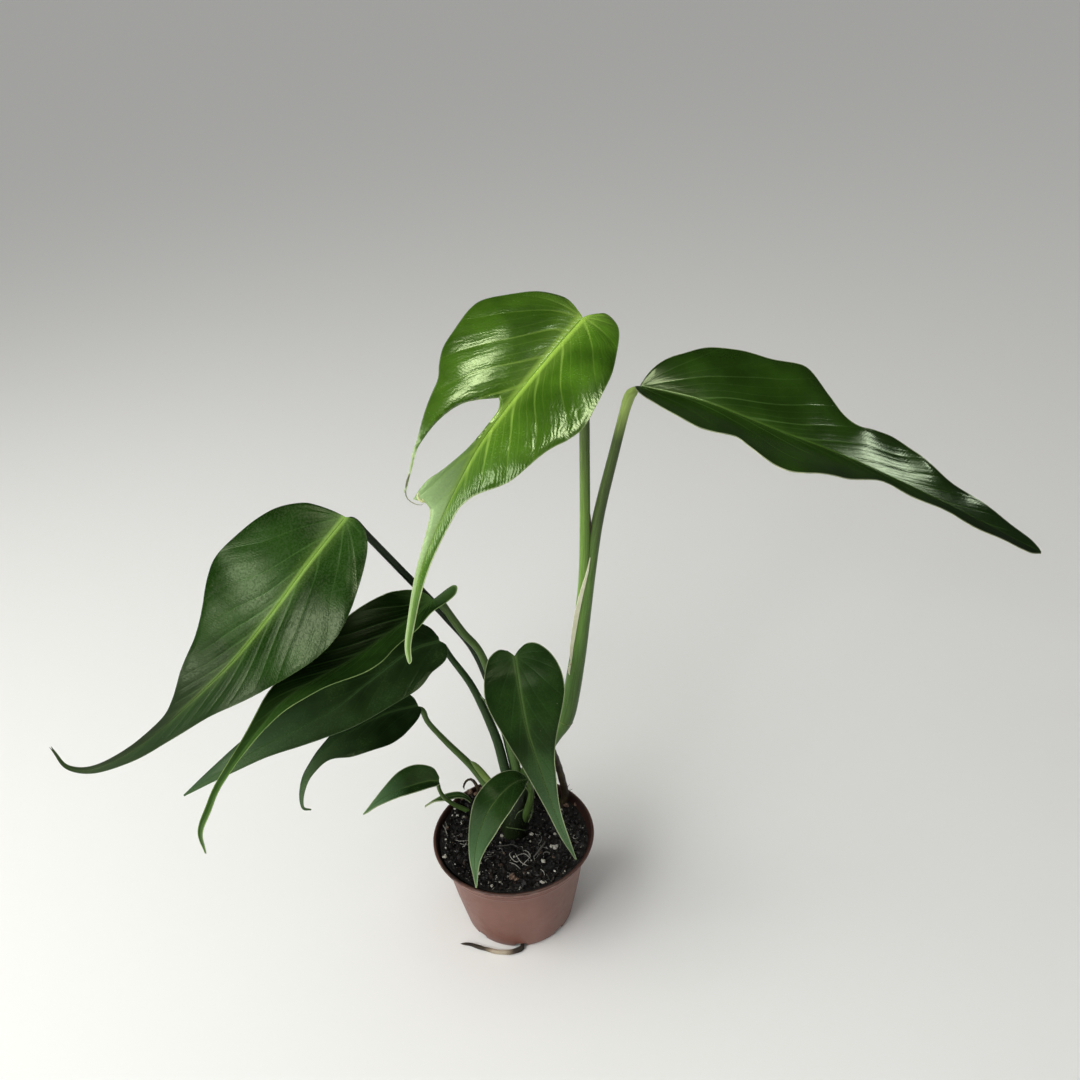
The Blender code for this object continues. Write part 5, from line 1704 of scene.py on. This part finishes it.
# Bits as (x, y, size), fibres as (x, y, height over the soil, radius) points with a tint.
SEEN_PERLITE = ((-29.1, 11.9, 1.6), (-28.1, 15.7, 1.2), (9.7, 0.9, 2.2), (19.6, -1.5, 1.2),
                (22.6, -9.8, 2.6), (20.6, -8.6, 1.8), (15.6, -19.3, 2.3), (-37.5, -14.1, 2.1),
                (15.1, -35.1, 1.7), (-33.4, 20.9, 1.2), (-37.6, -1.0, 1.1), (31.0, -5.4, 1.0),
                (-17.1, -33.8, 1.3), (-11.8, -35.6, 1.5), (7.4, -27.0, 1.2), (-7.6, -4.3, 1.0),
                (33.4, -12.2, 1.2), (-18.8, -26.2, 1.5))
SEEN_CLODS = ((-1.2, -29.7, 3.6), (0.8, -31.2, 2.4), (30.3, 21.5, 3.0), (34.1, 27.0, 3.4),
              (36.0, 22.0, 2.2), (-37.4, 7.3, 2.6), (-17.6, 34.5, 3.4), (-25.1, 31.4, 3.8),
              (-29.0, 26.9, 3.4), (-21.0, 30.0, 3.0), (-33.0, 23.0, 2.6))
SEEN_FIBRES = (
    (((10.9, -16.0, 0.8, 0.5), (13.5, -12.8, 1.6, 0.6), (17.7, -6.5, 2.2, 0.45)), 0.20),
    (((-1.0, -11.4, 0.8, 0.16), (-2.4, -14.6, 1.8, 0.18), (-0.6, -18.2, 1.4, 0.18),
      (1.8, -20.4, 1.9, 0.17), (3.0, -17.6, 1.2, 0.14)), 0.75),
    (((0.6, -12.8, 1.0, 0.15), (1.6, -16.4, 2.0, 0.18), (4.0, -20.6, 1.6, 0.18),
      (7.6, -22.8, 1.2, 0.15)), 0.80),
    (((3.7, -22.8, 1.0, 0.15), (6.6, -20.2, 2.2, 0.18), (8.8, -16.4, 1.6, 0.18),
      (7.4, -12.4, 1.2, 0.15), (4.4, -11.0, 0.9, 0.12)), 0.75),
    (((9.2, -18.0, 1.0, 0.14), (6.2, -15.2, 2.2, 0.17), (3.0, -15.0, 1.8, 0.17),
      (0.2, -16.6, 1.2, 0.13)), 0.65),
    (((-2.8, -19.4, 0.9, 0.14), (0.4, -21.6, 1.6, 0.16), (3.4, -24.6, 1.0, 0.14)), 0.60),
    (((13.6, -24.6, 0.8, 0.14), (15.6, -27.4, 1.4, 0.16), (16.2, -30.8, 0.9, 0.12)), 0.70),
    (((-33.0, -1.0, 0.8, 0.20), (-29.6, -3.0, 1.6, 0.22), (-24.2, -2.1, 1.0, 0.14)), 0.45),
    (((-31.4, -3.4, 0.8, 0.18), (-28.0, -5.4, 1.5, 0.20), (-24.8, -5.6, 0.9, 0.12)), 0.35),
    (((-40.0, 10.0, 0.8, 0.20), (-38.0, 5.4, 1.6, 0.22), (-36.6, 0.5, 1.0, 0.14)), 0.45),
    (((-38.6, 12.4, 0.8, 0.18), (-37.6, 8.0, 1.7, 0.20), (-38.4, 3.2, 1.0, 0.12)), 0.35),
    (((-9.6, -7.0, 0.8, 0.22), (-5.4, -7.8, 1.6, 0.26), (-0.8, -7.2, 1.5, 0.24),
      (3.0, -9.4, 0.8, 0.14)), 0.15),
)


@dataclass(frozen=True)
class Litter:
    """Loose bits of one kind that are strewn over the soil.

    Attributes:
        name: The piece's name.
        count: How many bits there are.
        sizes: Smallest and largest size across.
        finish: The bits' material.
        fineness: Subdivisions of each bit.
        spread: How far the tint of single bits varies.
        stretch: How much longer than wide the bits are.
    """

    name: str
    count: int
    sizes: tuple[float, float]
    finish: Blend
    fineness: int
    spread: float
    stretch: float = 1.0


@dataclass
class Soil:
    """Damp peat with crumbs, perlite, bark bits and loose fibres.

    Attributes:
        radius: Radius of the soil's surface.
        litter: The strewn bits.
        masters: Differently shaped bits of each kind, which are then copied.
        fibres: How many thin fibres are strewn.
        sides: (share of the grid, radius, height) down the sides and over the foot.
        seed: Seed of every random draw.
    """

    radius: float = 41.2
    litter: tuple[Litter, ...] = (
        Litter("peat_crumbs", 1900, (0.8, 3.6), CRUMB, 1, 0.42),
        Litter("perlite_bits", 80, (0.8, 2.0), PERLITE, 2, 0.62),
        Litter("lime_grains", 170, (0.3, 0.8), PERLITE, 1, 0.62),
        Litter("peat_shreds", 520, (0.25, 0.65), FIBRE, 1, 0.7, 4.0),
    )
    masters: int = 8
    fibres: int = 42
    sides: Points = ((0.82, 41.2, 53.0), (0.86, 39.0, 48.4), (0.89, 37.2, 44.0),
                     (0.92, 33.5, 24.0), (0.95, 29.1, 4.4), (0.97, 27.4, 2.2), (1.0, 0.3, 2.0))
    seed: int = 11

    def build(self) -> None:
        """Model the root ball's surface and scatter the bits over it."""
        rand = random.Random(self.seed)
        self.build_ball()
        for kind in self.litter:
            self.scatter(kind, rand)
        self.place_bits("perlite_lumps", SEEN_PERLITE, PERLITE, rand)
        self.place_bits("brown_clods", SEEN_CLODS, CLOD, rand)
        self.scatter_fibres(rand)
        self.place_fibres()

    def build_ball(self) -> None:
        """Wrap a grid into a crumbly disc with sides that follow the pot."""
        item, where = new_grid("root_ball", 110, 220)
        share = where[:, 0]
        angle = where[:, 1] * math.tau
        marks, radii, heights = np.array(self.sides).T
        radius = np.interp(share, (0.0, *marks), (0.3, *radii))
        height = np.interp(share, marks, heights)
        x, y = radius * np.cos(angle), radius * np.sin(angle)
        points = np.stack([x, y, height], axis=-1)
        for i in np.nonzero(share <= marks[0] + 0.001)[0]:
            points[i, 2] = soil_surface(x[i], y[i])
        move_points(item, points)
        close_shell(item)
        smooth(item, 60.0)
        seat(item, "peat", "soil", finish=PEAT.build())

    def spot(self, rand: random.Random, limit: float) -> tuple[float, float, float]:
        """Pick a place on the soil inside a radius."""
        radius = limit * math.sqrt(rand.random())
        angle = rand.uniform(0.0, math.tau)
        x, y = radius * math.cos(angle), radius * math.sin(angle)
        return x, y, soil_surface(x, y)

    def lump(self, rand: random.Random, fineness: int) -> Item:
        """Model one irregular crumb about 1 mm across from a ball."""
        deselect()
        bpy.ops.mesh.primitive_ico_sphere_add(subdivisions=fineness, radius=1.0)
        item = bpy.context.active_object
        offset = Vector([rand.uniform(0, 90) for _ in range(3)])
        for vertex in item.data.vertices:
            push = 1.0 + 0.75 * noise.noise(vertex.co * 1.1 + offset)
            vertex.co = vertex.co * push * 0.5 * MM
        return item

    def scatter(self, kind: Litter, rand: random.Random) -> None:
        """Copy a few modelled lumps over the soil and join them."""
        masters = [self.lump(rand, kind.fineness) for _ in range(self.masters)]
        low, high = kind.sizes
        copies = []
        for _ in range(kind.count):
            master = rand.choice(masters)
            item = master.copy()
            item.data = master.data.copy()
            bpy.context.scene.collection.objects.link(item)
            size = low + (high - low) * rand.random() ** 2.2
            x, y, z = self.spot(rand, self.radius - 1.2 - size * 0.5)
            turn = random_turn(rand)
            scale = Matrix.Diagonal((size * kind.stretch, size * rand.uniform(0.6, 1.0),
                                     size * rand.uniform(0.5, 0.9), 1.0))
            place = Matrix.Translation(Vector((x, y, z + size * rand.uniform(0.0, 0.25))) * MM)
            item.data.transform(place @ turn @ scale)
            tint_bit(item, clipped(rand.gauss(0.30, 0.5 * kind.spread)))
            copies.append(item)
        for master in masters:
            bpy.data.objects.remove(master, do_unlink=True)
        item = join(copies, kind.name)
        smooth(item, 30.0)
        seat(item, "peat", finish=kind.finish.build())

    def place_bits(self, name: str, bits: Points, finish: Blend, rand: random.Random) -> None:
        """Model the larger bits that lie at known places, each from its own ball.

        Args:
            name: The piece's name.
            bits: Place (x, y) and size of each bit.
            finish: The bits' material.
            rand: The seeded random source.
        """
        made = []
        for x, y, size in bits:
            item = self.lump(rand, 3)
            turn = random_turn(rand)
            top = soil_level(x, y) + 0.35 * size
            place = Matrix.Translation(Vector((x, y, top)) * MM)
            item.data.transform(place @ Matrix.Diagonal((size, size, 0.75 * size, 1.0)) @ turn)
            tint_bit(item, rand.uniform(0.2, 0.6))
            made.append(item)
        item = join(made, name)
        smooth(item, 30.0)
        seat(item, "peat", finish=finish.build())

    @staticmethod
    def rest_on_soil(path: Points) -> Points:
        """Lay a line of (x, y, height over the soil, radius) points on the soil."""
        return tuple((x, y, soil_level(x, y) + over, radius) for x, y, over, radius in path)

    def scatter_fibres(self, rand: random.Random) -> None:
        """Lay thin curled fibres and rootlets on the soil."""
        made = []
        for k in range(self.fibres):
            x, y, _ = self.spot(rand, 36.0)
            heading = rand.uniform(0.0, math.tau)
            curl = rand.gauss(0.0, 0.6)
            step = rand.uniform(0.7, 1.7)
            thick = rand.uniform(0.08, 0.17)
            path = []
            for j in range(6):
                over = 0.7 + 0.8 * math.sin(j / 5.0 * math.pi) * rand.random()
                path.append((x, y, over, thick * (1.0 - 0.12 * j)))
                heading += curl + rand.gauss(0.0, 0.25)
                x += step * math.cos(heading)
                y += step * math.sin(heading)
                if math.hypot(x, y) > 39.0:
                    heading += math.pi * 0.6
                    x, y = x * 0.96, y * 0.96
            item = Stalk(f"fibre_{k}", self.rest_on_soil(tuple(path)), sides=5).build()
            tint_bit(item, clipped(rand.gauss(0.30, 0.3)))
            made.append(item)
        seat(join(made, "soil_fibres"), "root_brown", finish=FIBRE.build())

    def place_fibres(self) -> None:
        """Lay the tangle of fine roots, the tufts and the twig that the surface shows."""
        made = []
        for k, (path, tint) in enumerate(SEEN_FIBRES):
            item = Stalk(f"rootlet_{k}", self.rest_on_soil(path), sides=8).build()
            tint_bit(item, tint)
            made.append(item)
        seat(join(made, "root_tangle"), "root_brown", finish=FIBRE.build())


def add_item(name: str, data: bpy.types.ID) -> Item:
    """Put a light or a camera into the scene."""
    item = bpy.data.objects.new(name, data)
    bpy.context.scene.collection.objects.link(item)
    return item


class Role(Enum):
    """What a light is for: to light and be mirrored, or only one of the two."""

    KEY = (True, True)
    WASH = (True, False)
    GLINT = (False, True)


@dataclass(frozen=True)
class SoftLight:
    """A rectangular soft light, placed by its direction from the plant.

    Attributes:
        name: The light's name.
        turn: Direction from the viewer's side, towards the right, in degrees.
        rise: Height above the horizon in degrees.
        distance: Distance from the plant in metres.
        width: Level side in metres.
        height: Other side in metres.
        power: Power in watts.
        colour: Colour of the light.
        role: Whether it lights the plant, is mirrored in it, or both.
    """

    name: str
    turn: float
    rise: float
    distance: float
    width: float
    height: float
    power: float
    colour: str
    role: Role

    def away(self) -> Vector:
        """Give the direction from the plant to the light."""
        turn, rise = math.radians(self.turn), math.radians(self.rise)
        return Vector((math.sin(turn) * math.cos(rise), -math.cos(turn) * math.cos(rise),
                       math.sin(rise)))

    def build(self, aim: Vector) -> None:
        """Hang the light, turned towards a point."""
        data = bpy.data.lights.new(self.name, "AREA")
        data.shape = "RECTANGLE"
        data.size = self.width
        data.size_y = self.height
        data.energy = self.power
        data.color = to_linear(self.colour)[:3]
        item = add_item(self.name, data)
        item.location = aim + self.away() * self.distance
        item.rotation_euler = self.away().to_track_quat("Z", "Y").to_euler()
        item.visible_diffuse, item.visible_glossy = self.role.value


@dataclass
class Studio:
    """Plain floor, soft lights and the camera.

    Attributes:
        lights: The soft lights.
        aim: Where they point, in metres.
        fill_turn: Direction that the even fill comes from, in degrees.
        fill_rise: Its height above the horizon in degrees.
        fill_strength: Its strength.
        fill_angle: How wide it spreads in degrees.
        surround: Strength of the dim surround.
        eye: The camera's place in metres.
        pitch: How far the camera looks down, in degrees.
        roll: How far it leans, in degrees.
        lens: Its focal length for a picture 36 mm wide.
    """

    lights: tuple[SoftLight, ...] = (
        SoftLight("key", -38.0, 31.0, 1.4, 0.52, 0.62, 7.2, "#fdfdff", Role.KEY),
        SoftLight("wash", -78.0, 42.0, 1.1, 0.9, 0.9, 8.0, "#fffffb", Role.WASH),
        SoftLight("overhead", 42.0, 69.0, 1.3, 0.34, 0.40, 6.4, "#fffdf4", Role.GLINT),
        SoftLight("side", 82.0, 37.5, 1.4, 0.20, 0.15, 1.5, "#f6f9ff", Role.GLINT),
    )
    aim: tuple[float, float, float] = (0.0, -0.02, 0.2)
    fill_turn: float = -45.0
    fill_rise: float = 62.0
    fill_strength: float = 1.35
    fill_angle: float = 120.0
    surround: float = 0.08
    eye: tuple[float, float, float] = (0.0251, -0.4221, 0.4864)
    pitch: float = 29.96
    roll: float = -3.69
    lens: float = 34.87

    def build(self) -> None:
        """Set up everything that isn't part of the plant."""
        self.build_floor()
        self.build_lights()
        self.build_camera()

    @staticmethod
    def build_floor() -> None:
        """Lay a plain pale floor."""
        deselect()
        bpy.ops.mesh.primitive_plane_add(size=120.0)
        floor = bpy.context.active_object
        floor.name = "floor"
        floor.data.materials.append(Paint("pale_floor").finish({
            "Base Color": "#f4f4f0", "Roughness": 0.7}))

    def build_lights(self) -> None:
        """Hang the soft lights, the even fill and a dim surround."""
        for light in self.lights:
            light.build(Vector(self.aim))
        data = bpy.data.lights.new("fill", "SUN")
        data.energy = self.fill_strength
        data.angle = math.radians(self.fill_angle)
        fill = add_item("fill", data)
        fill.rotation_euler = Euler((math.radians(90.0 - self.fill_rise), 0.0,
                                     math.radians(self.fill_turn)))
        fill.visible_glossy = False
        world = bpy.data.worlds.new("studio")
        world.use_nodes = True
        background = world.node_tree.nodes["Background"]
        background.inputs["Color"].default_value = to_linear("#cfccd0")
        background.inputs["Strength"].default_value = self.surround
        bpy.context.scene.world = world
        bpy.context.scene.view_settings.view_transform = "Standard"

    def build_camera(self) -> None:
        """Put the camera where the picture was taken from."""
        pitch, roll = math.radians(self.pitch), math.radians(self.roll)
        ahead = Vector((0.0, math.cos(pitch), -math.sin(pitch)))
        upward = Vector((0.0, math.sin(pitch), math.cos(pitch)))
        across = Vector((1.0, 0.0, 0.0))
        right = across * math.cos(roll) + upward * math.sin(roll)
        top = upward * math.cos(roll) - across * math.sin(roll)
        data = bpy.data.cameras.new("camera")
        data.sensor_width = 36.0
        data.lens = self.lens
        data.clip_start = 0.01
        item = add_item("camera", data)
        turned = Matrix((right, top, -ahead)).transposed().to_4x4()
        item.matrix_world = Matrix.Translation(self.eye) @ turned
        bpy.context.scene.camera = item


def main() -> None:
    """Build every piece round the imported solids."""
    logging.basicConfig(level=logging.INFO, format="%(message)s")
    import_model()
    Studio().build()
    Leaves().build()
    Stems().build()
    Pot().build()
    Soil().build()
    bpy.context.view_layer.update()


if __name__ == "__main__":
    main()
